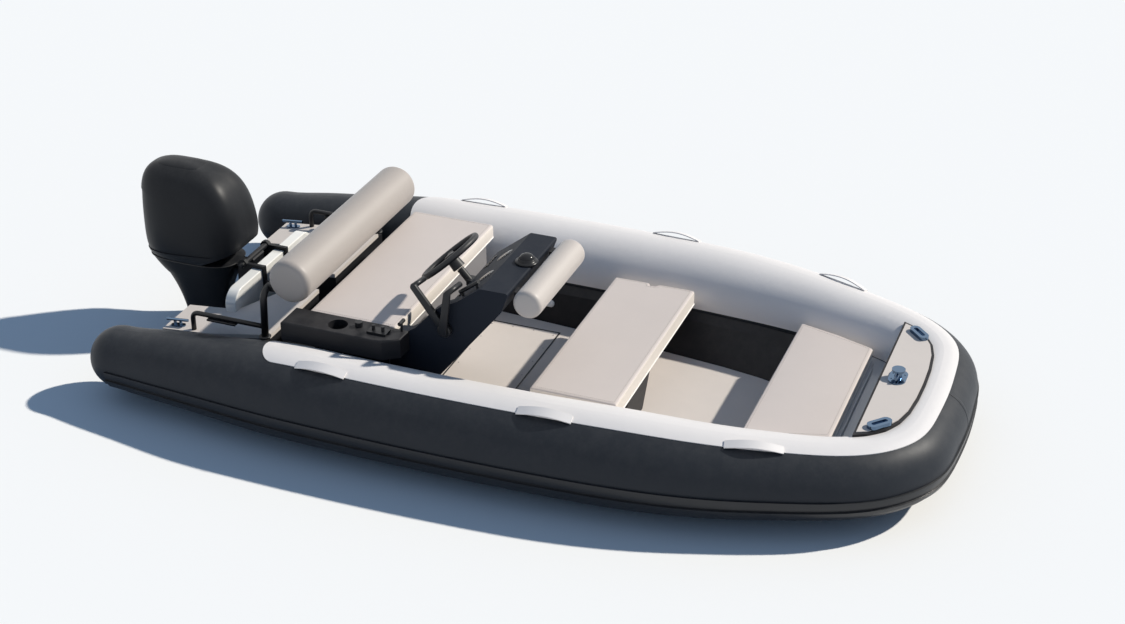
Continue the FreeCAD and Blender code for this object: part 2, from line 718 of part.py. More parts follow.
# Helm: raked console with its dash on a side wall, all in one moulding
body = new_body("helm_moulding")
add_pad(body, "side_wall", "XZ_Plane",
        [(20, "helm_top"), (-15, 664), (-40, 631), (-299, 307), (-529, "floor_height+rest_gap"),
         (-548, "floor_height+rest_gap"), (-548, "bench_top-bench_thickness-rest_gap"),
         ("bench_aft_edge+bench_length+rest_gap", "bench_top-bench_thickness-rest_gap"),
         ("bench_aft_edge+bench_length+rest_gap", 460), (-500, 482), (-452, 488), (-421, 508), (-385, 548),
         (-330, 610), (-290, 642), (-221, 675), (-109, "helm_top")], "helm_wall_thickness",
        offset="-helm_outboard_y-helm_wall_thickness")
add_pad(body, "dash", "XZ_Plane",
        [(20, "helm_top"), (-15, 664), (-40, 631), (-299, 307), (-345, 250), (-392, 262), (-371, 486), (-273, 632),
         (-109, "helm_top")], "helm_inboard_y-helm_outboard_y-2", offset="-helm_inboard_y")
add_pad(body, "front_panel", "XZ_Plane",
        [(-299, 307), (-529, "floor_height+rest_gap"), (-548, "floor_height+rest_gap"), (-548, 36), (-330, 307)],
        "helm_inboard_y-helm_outboard_y-4", offset="-helm_inboard_y+2")
rounded(body, "helm_head_edges", edges_where(
    lambda m, e: abs(m.z - HELM_TOP) < 0.01 and e.Length > 300), 10)
body_walls = DOC.addObject("Part::Feature", "wall_room")
body_walls.Shape = WALLS
scribed = DOC.addObject("Part::Cut", "helm_console")
scribed.Base = body
scribed.Tool = body_walls
DOC.recompute()
keep(scribed, "helm_console")

# Side shelf with the cup holder
body = new_body("side_shelf")
add_pad(body, "shelf", "XY_Plane",
        [(-1010, -690), (-520, -690), (-455, -640), (-450, "helm_outboard_y-rest_gap"),
         (-548.5, "helm_outboard_y-rest_gap"), (-548.5, -549.5), (-1010, -549.5)], "shelf_depth",
        offset="shelf_top-shelf_depth")
cup = ring(sketch_on(body, "cup_ring", "XY_Plane", "shelf_top"), -764, -619, "cup_radius")
add_pocket(body, "cup_holder", cup, "cup_depth")
rounded(body, "shelf_edges", edges_where(
    lambda m, e: abs(m.z - SHELF_TOP) < 0.01 and m.y < -600 and not e.isClosed()), 8)
keep(body, "side_shelf")

COMPASS = V(-18, -258, HELM_TOP + GAP)
bezel = Part.makeCylinder(41, 9, COMPASS).fuse(Part.makeCone(36, 30, 8, COMPASS + V(0, 0, 9)))
globe = Part.makeSphere(27, COMPASS + V(0, 0, 15), V(0, 0, 1), 0, 90, 360)
solid("compass", bezel.fuse(globe))

drum("console_bolster", "console_bolster_radius", "console_bolster_length", 98, -555, 716, 22)
arms = [slab([(21, 690), (40, 690), (40, 742), (21, 742)], y, y + 46) for y in (-500, -96)]
bolster_room = Part.makeCylinder(BOLSTER_R + GAP, BOLSTER_L, V(98, -555, 716), V(0, 1, 0))
solid("bolster_bracket", Part.makeCompound([arm.cut(bolster_room) for arm in arms]))

# Steering: rim, spokes and boss turn as one; the column and its bracket stay
tilt = math.radians(WHEEL_TILT)
UP_SHAFT = V(-math.sin(tilt), 0, math.cos(tilt))
HUB = V(WHEEL_X, WHEEL_Y, WHEEL_Z)


def wheel():
    """Build the three-spoked steering wheel with its boss."""
    shape = Part.makeTorus(WHEEL_R, RIM_R, HUB, UP_SHAFT)
    across = V(0, 1, 0)
    forward = UP_SHAFT.cross(across)
    boss = Part.makeCone(31, 26, 62, HUB - UP_SHAFT * 64, UP_SHAFT)
    disc = Part.makeCylinder(36, 10, HUB - UP_SHAFT * 9, UP_SHAFT)
    shape = shape.fuse([boss, disc])
    for deg in (90, 210, 330):
        turn = math.radians(deg)
        out = across * math.cos(turn) - forward * math.sin(turn)
        side = UP_SHAFT.cross(out)
        root, tip = HUB - UP_SHAFT * 6 + out * 20, HUB + out * (WHEEL_R - 2)
        rows = []
        for centre, half in ((root, 19), (tip, 12)):
            rows.append(Part.makePolygon([centre + side * half, centre + side * half + UP_SHAFT * 6,
                                          centre - side * half + UP_SHAFT * 6, centre - side * half,
                                          centre + side * half]))
        shape = shape.fuse(Part.makeLoft(rows, True, True))
    return shape


solid("steering_wheel", wheel())
console = scribed.Shape
column = rod(HUB - UP_SHAFT * 70, HUB - UP_SHAFT * 190, 17)
bracket = Part.makeBox(44, 52, 26, V(-292, WHEEL_Y - 26, 612))
solid("steering_column", column.fuse(bracket).cut(console))

# Throttle and shift levers on the outboard face of the side wall
PIVOT = V(-272, HELM_S, 536)


def blade(tip, y, half, thick):
    """Build a flat lever from the pivot to its tip."""
    run = V(tip[0] - PIVOT.x, 0, tip[1] - PIVOT.z)
    side = V(-run.z, 0, run.x).normalize()
    root, end = V(PIVOT.x, y, PIVOT.z), V(tip[0], y, tip[1])
    pts = [root + side * half * 1.5, end + side * half, end - side * half, root - side * half * 1.5]
    return Part.Face(Part.makePolygon(pts + [pts[0]])).extrude(V(0, thick, 0))


levers = Part.makeCylinder(31, 26, PIVOT - V(0, 26 + GAP, 0), V(0, 1, 0))
levers = levers.fuse([blade((-415, 727), PIVOT.y - 18, 10, 10), blade((-247, 731), PIVOT.y - 30, 11, 11),
                      rod(V(-411, PIVOT.y - 18, 722), V(-396, PIVOT.y + 66, 722), 12),
                      rod(V(-247, PIVOT.y - 30, 724), V(-226, PIVOT.y + 66, 730), 12)])
solid("throttle_levers", levers)

knob = Part.makeCylinder(17, 24, V(-670, -602, SHELF_TOP + GAP))
base_plate = Part.makeBox(90, 52, 10, V(-612, -645, SHELF_TOP + GAP))
posts = [Part.makeCylinder(8, 26, V(x, -620, SHELF_TOP + 8)) for x in (-590, -545)]
grip = rod(V(-478, -572, SHELF_TOP + GAP), V(-478, -572, 528), 6).fuse(rod(V(-478, -594, 532), V(-478, -550, 532), 9))
solid("shelf_fittings", Part.makeCompound([knob, base_plate.fuse(posts), grip]))

rail_a, rail_b = V(-224, -512, 700), V(-137, -512, 766)
grab = rod(rail_a, rail_b, 9)
feet = [rod(p, p + V(14, 0, -52), 6) for p in (rail_a + (rail_b - rail_a) * 0.12, rail_a + (rail_b - rail_a) * 0.88)]
solid("console_grab_rail", grab.fuse(feet).cut(console))

# Aft deck: two quarter mouldings with sloping tops, and the splash well between them
DECK_RUN = DECK_FWD_X - DECK_AFT_X


def deck_height(x, below=0.0):
    """Return the height of the sloping aft deck at an x."""
    return DECK_AFT_Z + (DECK_FWD_Z - DECK_AFT_Z) * (x - DECK_AFT_X) / DECK_RUN - below


def sloped(outline, under, over):
    """Build a plate that follows the aft deck's slope between two depths below its top."""
    ends = (DECK_AFT_X - 50, DECK_FWD_X + 50)
    side = [(x, deck_height(x, under)) for x in ends] + [(x, deck_height(x, over)) for x in reversed(ends)]
    return plate(outline, 0, 500).common(slab(side, -900, 900))


inner_edge = [(DECK_AFT_X, 342), (-1500, 342), (-1429, 320), (-1300, 100), (DECK_FWD_X, 88)]
quarter = plate([(DECK_AFT_X, 600)] + inner_edge[:1] + [(TRANSOM_X - GAP, 342), (TRANSOM_X - GAP, 376),
                                                       (TRANSOM_X + TRANSOM_T + GAP, 376)] + inner_edge[2:] +
                [(DECK_FWD_X, 594), (-1450, 610)], 0, 400)
top_cut = slab([(DECK_AFT_X - 1, deck_height(DECK_AFT_X, DECK_PAD_T)), (DECK_FWD_X + 1, deck_height(DECK_FWD_X, DECK_PAD_T)),
                (DECK_FWD_X + 1, FLOOR_Z + GAP), (TRANSOM_X + TRANSOM_T, FLOOR_Z + GAP), (TRANSOM_X - 40, 60),
                (DECK_AFT_X - 1, 120)], 0, 900)
quarter = quarter.common(top_cut).cut(TUBE_ROOM).cut(liner)
well = plate([(TRANSOM_X + TRANSOM_T + GAP, 319), (-1300, 99), (DECK_FWD_X, 87), (DECK_FWD_X, -87), (-1300, -99),
              (TRANSOM_X + TRANSOM_T + GAP, -319)], 116, 134)
front = Part.makeBox(20, 180, 116, V(DECK_FWD_X - 20, -90, FLOOR_Z + GAP))
solid("aft_deck", quarter.fuse([mirrored(quarter), well, front]).removeSplitter())

pad_inner = [(DECK_AFT_X + 8, 350), (-1494, 350), (-1424, 328), (-1294, 92), (DECK_FWD_X, 82)]
pad = sloped([(DECK_AFT_X + 8, 592)] + pad_inner + [(DECK_FWD_X, 552), (-1440, 596)], DECK_PAD_T - GAP, 0)
transom_room = Part.makeBox(TRANSOM_T + 2 * GAP, TRANSOM_W + 2 * GAP, 600,
                            V(TRANSOM_X - GAP, -TRANSOM_W / 2 - GAP, -100))
pad = pad.cut(TUBE_ROOM).cut(transom_room)
solid("aft_deck_pads", both(pad))
PAD_ROOM = both(pad)
PAD_ROOM.translate(V(0, 0, GAP))

# Tubular rails that carry the backrest roll
def rail(y):
    """Build one side's rail: a post up to the roll and a low hoop running aft."""
    foot = deck_height(DECK_FWD_X - 12) + GAP
    post = bent_tube([V(DECK_FWD_X - 14, y, foot), V(DECK_FWD_X - 14, y, ROLL_Z - 40),
                      V(ROLL_X, y, ROLL_Z - 4)], 40, RAIL_R)
    hoop = bent_tube([V(RAIL_AFT_X, y, deck_height(RAIL_AFT_X) + GAP), V(RAIL_AFT_X, y, RAIL_Z),
                      V(DECK_FWD_X - 14, y, RAIL_Z)], 34, RAIL_R)
    tread = Part.makeBox(147, 44, 8, V(-1451, y - 22, RAIL_Z - RAIL_R - 6))
    return post.fuse([hoop, tread])


roll = drum("backrest_roll", "backrest_roll_radius", "backrest_roll_length", "backrest_roll_x",
            "-backrest_roll_length/2", "backrest_roll_z", "roll_edge_radius")
roll_room = Part.makeCylinder(ROLL_R + GAP, ROLL_L + 20, V(ROLL_X, -ROLL_L / 2 - 10, ROLL_Z), V(0, 1, 0))
solid("backrest_rails", Part.makeCompound([rail(y).cut(roll_room).cut(PAD_ROOM) for y in (RAIL_Y, -RAIL_Y)]))


def cleat(x, y):
    """Build a two-horned stern cleat on its foot."""
    z = deck_height(x) + GAP
    foot = Part.makeCylinder(15, 6, V(x - 22, y, z)).fuse(
        [Part.makeCylinder(15, 6, V(x + 22, y, z)), Part.makeBox(44, 30, 6, V(x - 22, y - 15, z))]).removeSplitter()
    posts = [Part.makeCylinder(7, 28, V(x + dx, y, z + 2)) for dx in (-15, 15)]
    bar = rod(V(x - 56, y, z + 30), V(x + 56, y, z + 30), 7)
    whole = foot.fuse(posts + [bar])
    whole.rotate(V(x, y, z), V(0, 1, 0), -math.degrees(math.atan2(DECK_FWD_Z - DECK_AFT_Z, DECK_RUN)))
    return whole


solid("stern_cleats", both(cleat(-1630, 552)))

# Bow step, scribed to the tube, with its pad, cleat and fairleads
step_half = [(1507, 508), (1560, 480), (1625, 418), (1668, 340), (1692, 250), (1704, 130)]
step_rim = step_half + [(1707, 0)] + [(x, -y) for x, y in reversed(step_half)]
step = plate(step_rim, STEP_TOP - STEP_DEEP, STEP_TOP).cut(TUBE_ROOM)
solid("bow_step_moulding", max(step.Solids, key=lambda s: s.Volume))
pad_half = [(1517, 486), (1558, 466), (1617, 408), (1657, 334), (1680, 246), (1691, 128)]
pad_rim = pad_half + [(1694, 0)] + [(x, -y) for x, y in reversed(pad_half)]
solid("bow_step_pad", plate(pad_rim, STEP_TOP + GAP, STEP_TOP + STEP_PAD_T))
PAD_Z = STEP_TOP + STEP_PAD_T + GAP
base = Part.makeCylinder(38, 6, V(1585, 24, PAD_Z)).fuse(
    [Part.makeCylinder(38, 6, V(1585, -24, PAD_Z)), Part.makeBox(76, 48, 6, V(1547, -24, PAD_Z))]).removeSplitter()
post = Part.makeCone(17, 13, 30, V(1585, 0, PAD_Z + 5)).fuse(Part.makeCylinder(29, 9, V(1585, 0, PAD_Z + 35)))
horn = rod(V(1585, -52, PAD_Z + 22), V(1585, 52, PAD_Z + 22), 8)
solid("bow_cleat", base.fuse(post).fuse(horn))


def fairlead():
    """Build one fairlead: a low oval ring with a slot for the line."""
    outer = Part.makeCylinder(24, 16, V(0, 34, 0)).fuse(
        [Part.makeCylinder(24, 16, V(0, -34, 0)), Part.makeBox(48, 68, 16, V(-24, -34, 0))])
    inner = Part.makeCylinder(9, 20, V(0, 30, 5)).fuse(
        [Part.makeCylinder(9, 20, V(0, -30, 5)), Part.makeBox(18, 60, 20, V(-9, -30, 5))])
    return outer.removeSplitter().cut(inner)


lead = fairlead()
lead.rotate(V(0, 0, 0), V(0, 0, 1), 42)
lead.translate(V(1594, 404, PAD_Z))
solid("bow_fairleads", both(lead))

# Outboard engine: brackets on the transom, the swivel and everything that steers
CLAMP_Y = 98
CLAMP_T = 18
hook = [(TILT_X - 28, TILT_Z + 2), (TILT_X - 19, TILT_Z + 16), (TILT_X - 8, TILT_Z + 22), (TILT_X + 6, TILT_Z + 22),
        (TILT_X + 20, TRANSOM_TOP + 18), (TRANSOM_X + TRANSOM_T + 14, TRANSOM_TOP + 18),
        (TRANSOM_X + TRANSOM_T + 16, 292), (TRANSOM_X + TRANSOM_T + GAP, 292),
        (TRANSOM_X + TRANSOM_T + GAP, TRANSOM_TOP + GAP), (TRANSOM_X - GAP, TRANSOM_TOP + GAP),
        (TRANSOM_X - GAP, 176), (TRANSOM_X - 40, 190), (TRANSOM_X - 74, 330)]
bore = Part.makeCylinder(14 + PIN_GAP, 80, V(TILT_X, 70, TILT_Z), V(0, 1, 0))
screw = rod(V(TRANSOM_X + TRANSOM_T + 10, CLAMP_Y + CLAMP_T / 2, 322), V(TRANSOM_X + TRANSOM_T + 62, CLAMP_Y + CLAMP_T / 2, 322), 8)
clamp = slab(hook, CLAMP_Y, CLAMP_Y + CLAMP_T).cut(bore).fuse(
    [screw, Part.makeBox(8, 12, 70, V(TRANSOM_X + TRANSOM_T + 56, CLAMP_Y + CLAMP_T / 2 - 6, 287))])
solid("clamp_bracket", both(clamp))


def oval(centre_x, half_l, half_w, z, square=3.0, front=3.0, count=20):
    """Return a smooth closed section, squarer than an ellipse, with its own power for the forward half."""
    pts = []
    for k in range(count):
        turn = 2 * math.pi * k / count
        c, s = math.cos(turn), math.sin(turn)
        power = front if c > 0 else square
        reach = (abs(c) ** power + abs(s) ** power) ** (-1.0 / power)
        pts.append(V(centre_x + half_l * reach * c, half_w * reach * s, z))
    curve = Part.BSplineCurve()
    curve.interpolate(pts, PeriodicFlag=True)
    return Part.Wire([curve.toShape()])


COWL_ROWS = [(0.00, -12, 0.86, 0.80), (0.10, -4, 0.95, 0.92), (0.24, 6, 1.0, 0.99), (0.45, 4, 0.99, 1.0),
             (0.65, -6, 0.945, 0.95), (0.82, -22, 0.85, 0.84), (0.93, -38, 0.70, 0.66), (1.0, -56, 0.44, 0.40)]
WEDGE = [(-1750, 358), (-1480, 492)]


def wedge_room(lift):
    """Build the room under the cowl's rising front edge, moved up by a lift."""
    (xa, za), (xb, zb) = WEDGE
    return slab([(xa - 200, za - 200 + lift), (xa, za + lift), (xb, zb + lift), (xb, 200)], -300, 300).fuse(
        Part.makeBox(900, 600, 40, V(-2200, -300, COWL_FOOT - 40 + lift - 0.001)))


def cowl_form(inset):
    """Loft the cowl's form, drawn in by an inset on every side."""
    rows = []
    for share, shift, long_share, wide_share in COWL_ROWS:
        z = COWL_FOOT + (COWL_TOP - COWL_FOOT - inset) * share
        rows.append(oval(COWL_X + shift, COWL_L / 2 * long_share - inset, COWL_W / 2 * wide_share - inset, z,
                         2.8, 4.6, 28))
    return Part.makeLoft(rows, True, False).cut(wedge_room(inset))


mouth = oval(COWL_X + COWL_ROWS[0][1], COWL_L * 0.43 - COWL_T - 4, COWL_W * 0.4 - COWL_T - 4, COWL_FOOT - 1)
opening = Part.Face(mouth).extrude(V(0, 0, COWL_T + 12)).common(Part.makeBox(400, 400, 60, V(-2160, -200, 340)))
PANEL_DEEP = 4
side_outline = [(-2200, COWL_FOOT + 18), (-1690, COWL_FOOT + 62), (-1680, 420), (-1676, 620), (-1684, 648),
                (-1708, 664), (-2200, 706)]
side_room = slab(side_outline, 60, 400).cut(cowl_form(PANEL_DEEP))
solid("engine_cowl", cowl_form(0).cut(side_room).cut(mirrored(side_room)).cut(cowl_form(COWL_T)).cut(opening))
solid("engine_powerhead", slab([(-2006, COWL_FOOT + 1), (-1772, COWL_FOOT + 1), (-1716, 396), (-1716, 690),
                                (-2006, 690)], -90, 90))

# Lower pan with the upper yoke and the king pin, then the leg with the lower yoke
pan = Part.makeLoft([oval(COWL_X - 12, COWL_L * 0.43, COWL_W * 0.4, COWL_FOOT - GAP),
                     oval(COWL_X - 8, COWL_L * 0.40, COWL_W * 0.37, COWL_FOOT - 34),
                     oval(COWL_X + 6, COWL_L * 0.33, COWL_W * 0.31, COWL_FOOT - 96)], True, False)
PIN_R = 12


def yoke(z):
    """Build one arm that carries the engine on the steering axis."""
    return Part.makeBox(110, 76, 13, V(STEER_X - 110, -38, z)).fuse(Part.makeCylinder(38, 13, V(STEER_X, 0, z)))


swing_room = Part.makeCylinder(SWIVEL_R + 5, 240, V(STEER_X, 0, 96))
king_pin = Part.makeCylinder(PIN_R, 252, V(STEER_X, 0, 98.5))
solid("engine_pan", pan.cut(swing_room).fuse([yoke(337), king_pin]))
leg = Part.makeLoft([oval(COWL_X + 6, COWL_L * 0.325, COWL_W * 0.30, COWL_FOOT - 96.4),
                     oval(-1822, 138, 72, 155), oval(-1815, 118, 52, 50), oval(-1800, 112, 36, -150)], True, False)
solid("engine_midsection", leg.cut(swing_room).fuse(yoke(84)))

boss = Part.makeCylinder(SWIVEL_R, 230, V(STEER_X, 0, 103)).fuse(
    slab([(STEER_X, 132), (STEER_X + 34, 132), (TILT_X + 20, TILT_Z - 8), (TILT_X, TILT_Z + 15),
          (TILT_X - 16, TILT_Z - 2), (STEER_X + 38, 318), (STEER_X, 318)], -50, 50))
tilt_pin = Part.makeCylinder(14, 2 * (CLAMP_Y + CLAMP_T) + 16, V(TILT_X, -CLAMP_Y - CLAMP_T - 8, TILT_Z), V(0, 1, 0))
king_bore = Part.makeCylinder(PIN_R + PIN_GAP, 260, V(STEER_X, 0, 90))
solid("swivel_bracket", boss.cut(king_bore).fuse(tilt_pin))

# Gearcase: strut, plate over the propeller, torpedo and skeg
torpedo = Part.makeCylinder(40, 240, V(-1990, 0, PROP_Z), V(1, 0, 0))
nose = Part.makeLoft([Part.Wire([Part.Circle(V(-1750 + dx, 0, PROP_Z), V(1, 0, 0), r).toShape()])
                      for dx, r in ((0, 40), (34, 35), (62, 22), (74, 6))], True, False)
strut = Part.makeLoft([oval(-1800, 111, 34, -150.4), oval(-1812, 92, 20, -235), oval(-1822, 92, 15, PROP_Z + 20)],
                      True, False)
plate_rim = [(-2110, 0), (-2100, 46), (-2060, 78), (-1960, 86), (-1820, 74), (-1700, 30), (-1686, 0)]
av_plate = plate(plate_rim + [(x, -y) for x, y in reversed(plate_rim[1:-1])], -176, -168)
skeg = slab([(-1925, PROP_Z - 30), (-1765, PROP_Z - 30), (-1868, -492), (-1884, -503), (-1930, -503)], -4, 4)
shaft_bore = Part.makeCylinder(9 + PIN_GAP, 70, V(-1992, 0, PROP_Z), V(1, 0, 0))
solid("gearcase", torpedo.fuse([nose, strut, av_plate, skeg]).cut(shaft_bore))


def propeller_blade():
    """Loft one raked blade whose twist follows the pitch."""
    rows = []
    for radius, chord, thick in ((26, 26, 10), (45, 42, 9), (65, 60, 8), (85, 68, 7), (105, 62, 6), (122, 44, 4), (PROP_R, 14, 2)):
        turn = math.atan2(PITCH, 2 * math.pi * radius)
        along = V(math.sin(turn), math.cos(turn), 0)
        across = V(math.cos(turn), -math.sin(turn), 0)
        centre = V(-4 - 0.06 * radius, 0, radius)
        half = thick / 2.0
        pts = [centre - along * chord, centre - along * chord * 0.45 + across * half,
               centre + along * chord * 0.45 + across * half, centre + along * chord,
               centre + along * chord * 0.45 - across * half, centre - along * chord * 0.45 - across * half]
        rows.append(Part.makePolygon(pts + [pts[0]]))
    return Part.makeLoft(rows, True, True)


hub = Part.makeCone(29, 37, 88, V(-62, 0, 0), V(1, 0, 0)).fuse(Part.makeCylinder(9, 72, V(0, 0, 0), V(1, 0, 0)))
blades = []
for turn in (0, 120, 240):
    blade_shape = propeller_blade()
    blade_shape.rotate(V(0, 0, 0), V(1, 0, 0), turn)
    blades.append(blade_shape)
screw_shape = hub.fuse(blades)
screw_shape.translate(V(PROP_X, 0, PROP_Z))
solid("propeller", screw_shape)

# Towing eyes: a plate with a real bore on the stem and two on the transom
EYE_R = 11


def eye_plate(x, y, z, reach):
    """Build one towing eye, a level plate with an upright bore."""
    lug = Part.makeCylinder(24, 10, V(x, y, z - 5)).fuse(
        Part.makeBox(abs(reach), 48, 10, V(x if reach > 0 else x + reach, y - 24, z - 5)))
    return lug.cut(Part.makeCylinder(EYE_R, 14, V(x, y, z - 7)))


stern_eyes = [eye_plate(TRANSOM_X - 34, y, 96, 34 - GAP) for y in (250, -250)]
carriers = [part.Shape for part in PARTS if part.Label in ("hull_bottom", "bow_locker_base")]
bow_eye = eye_plate(1668, 0, -6, -70).cut(carriers).cut(TUBE_ROOM)
solid("tow_eyes", Part.makeCompound(stern_eyes + [max(bow_eye.Solids, key=lambda s: s.Volume)]))

DOC.recompute()
os.makedirs("parts", exist_ok=True)
for obj in PARTS:
    shape = obj.Shape
    state = [s for s in obj.State if s in ("Invalid", "Error")]
    if state or shape.isNull() or not shape.isValid():
        raise RuntimeError("bad shape: %s %s" % (obj.Label, state))
    shape.exportStep("parts/%s.step" % obj.Label)
    print("%-24s %6.1f l  solids %d" % (obj.Label, shape.Volume / 1e6, len(shape.Solids)))
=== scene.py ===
"""Dressed scene of a rigid inflatable tender with a side helm and an outboard engine.

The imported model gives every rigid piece.  This script gives them their finishes, makes the
padded pieces by cloth simulation, and adds fasteners, piping, stitches and small fittings.
All sizes are metres in the boat's own frame: +X to the bow, +Y to port, +Z up, water at z = 0.
"""

import json
import logging
import math
from dataclasses import dataclass, field
from enum import Enum
from typing import Sequence

import bmesh
import bpy
from mathutils import Matrix, Vector
from mathutils.bvhtree import BVHTree


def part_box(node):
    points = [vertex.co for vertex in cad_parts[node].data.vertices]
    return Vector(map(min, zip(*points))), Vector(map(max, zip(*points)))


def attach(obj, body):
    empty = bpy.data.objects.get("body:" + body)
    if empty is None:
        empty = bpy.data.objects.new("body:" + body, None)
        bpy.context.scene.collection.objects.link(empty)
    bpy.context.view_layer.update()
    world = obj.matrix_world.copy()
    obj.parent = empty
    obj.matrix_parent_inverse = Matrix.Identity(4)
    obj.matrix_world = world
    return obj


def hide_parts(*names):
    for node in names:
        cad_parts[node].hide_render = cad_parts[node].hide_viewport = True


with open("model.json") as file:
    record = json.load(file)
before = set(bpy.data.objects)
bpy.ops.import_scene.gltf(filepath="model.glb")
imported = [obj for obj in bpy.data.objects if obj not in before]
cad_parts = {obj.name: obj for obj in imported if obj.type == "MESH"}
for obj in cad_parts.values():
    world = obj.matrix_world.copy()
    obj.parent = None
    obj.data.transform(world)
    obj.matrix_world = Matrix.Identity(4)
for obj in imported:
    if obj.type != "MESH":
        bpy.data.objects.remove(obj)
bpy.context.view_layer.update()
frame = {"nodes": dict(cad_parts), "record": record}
LOG = logging.getLogger("tender")

AHEAD, PORT, UP = Vector((1, 0, 0)), Vector((0, 1, 0)), Vector((0, 0, 1))
Point = Sequence[float]
Flat = tuple[float, float]
Colour = tuple[float, float, float]
Line = tuple[Vector, Vector]
Socket = bpy.types.NodeSocket
Tree = tuple[bpy.types.NodeTree, bpy.types.Node, bpy.types.Node]


class Pattern(Enum):
    """The small relief that a finish carries."""

    GRAIN = "fine grain"
    HIDE = "vinyl hide"
    WEAVE = "coated weave"
    MOULDED = "moulded orange peel"
    FOAM = "closed cell foam"
    CAST = "cast skin"
    CLEAN = "polished"


@dataclass(frozen=True)
class Finish:
    """One surface finish, with the numbers that go straight onto the shader."""

    name: str
    colour: Colour
    roughness: float
    pattern: Pattern
    scale: float = 400.0
    relief: float = 0.0002
    mottle: float = 0.06
    rough_spread: float = 0.08
    metallic: float = 0.0
    coat: float = 0.0
    coat_roughness: float = 0.1
    sheen: float = 0.0
    specular: float = 0.5
    dust: float = 0.0


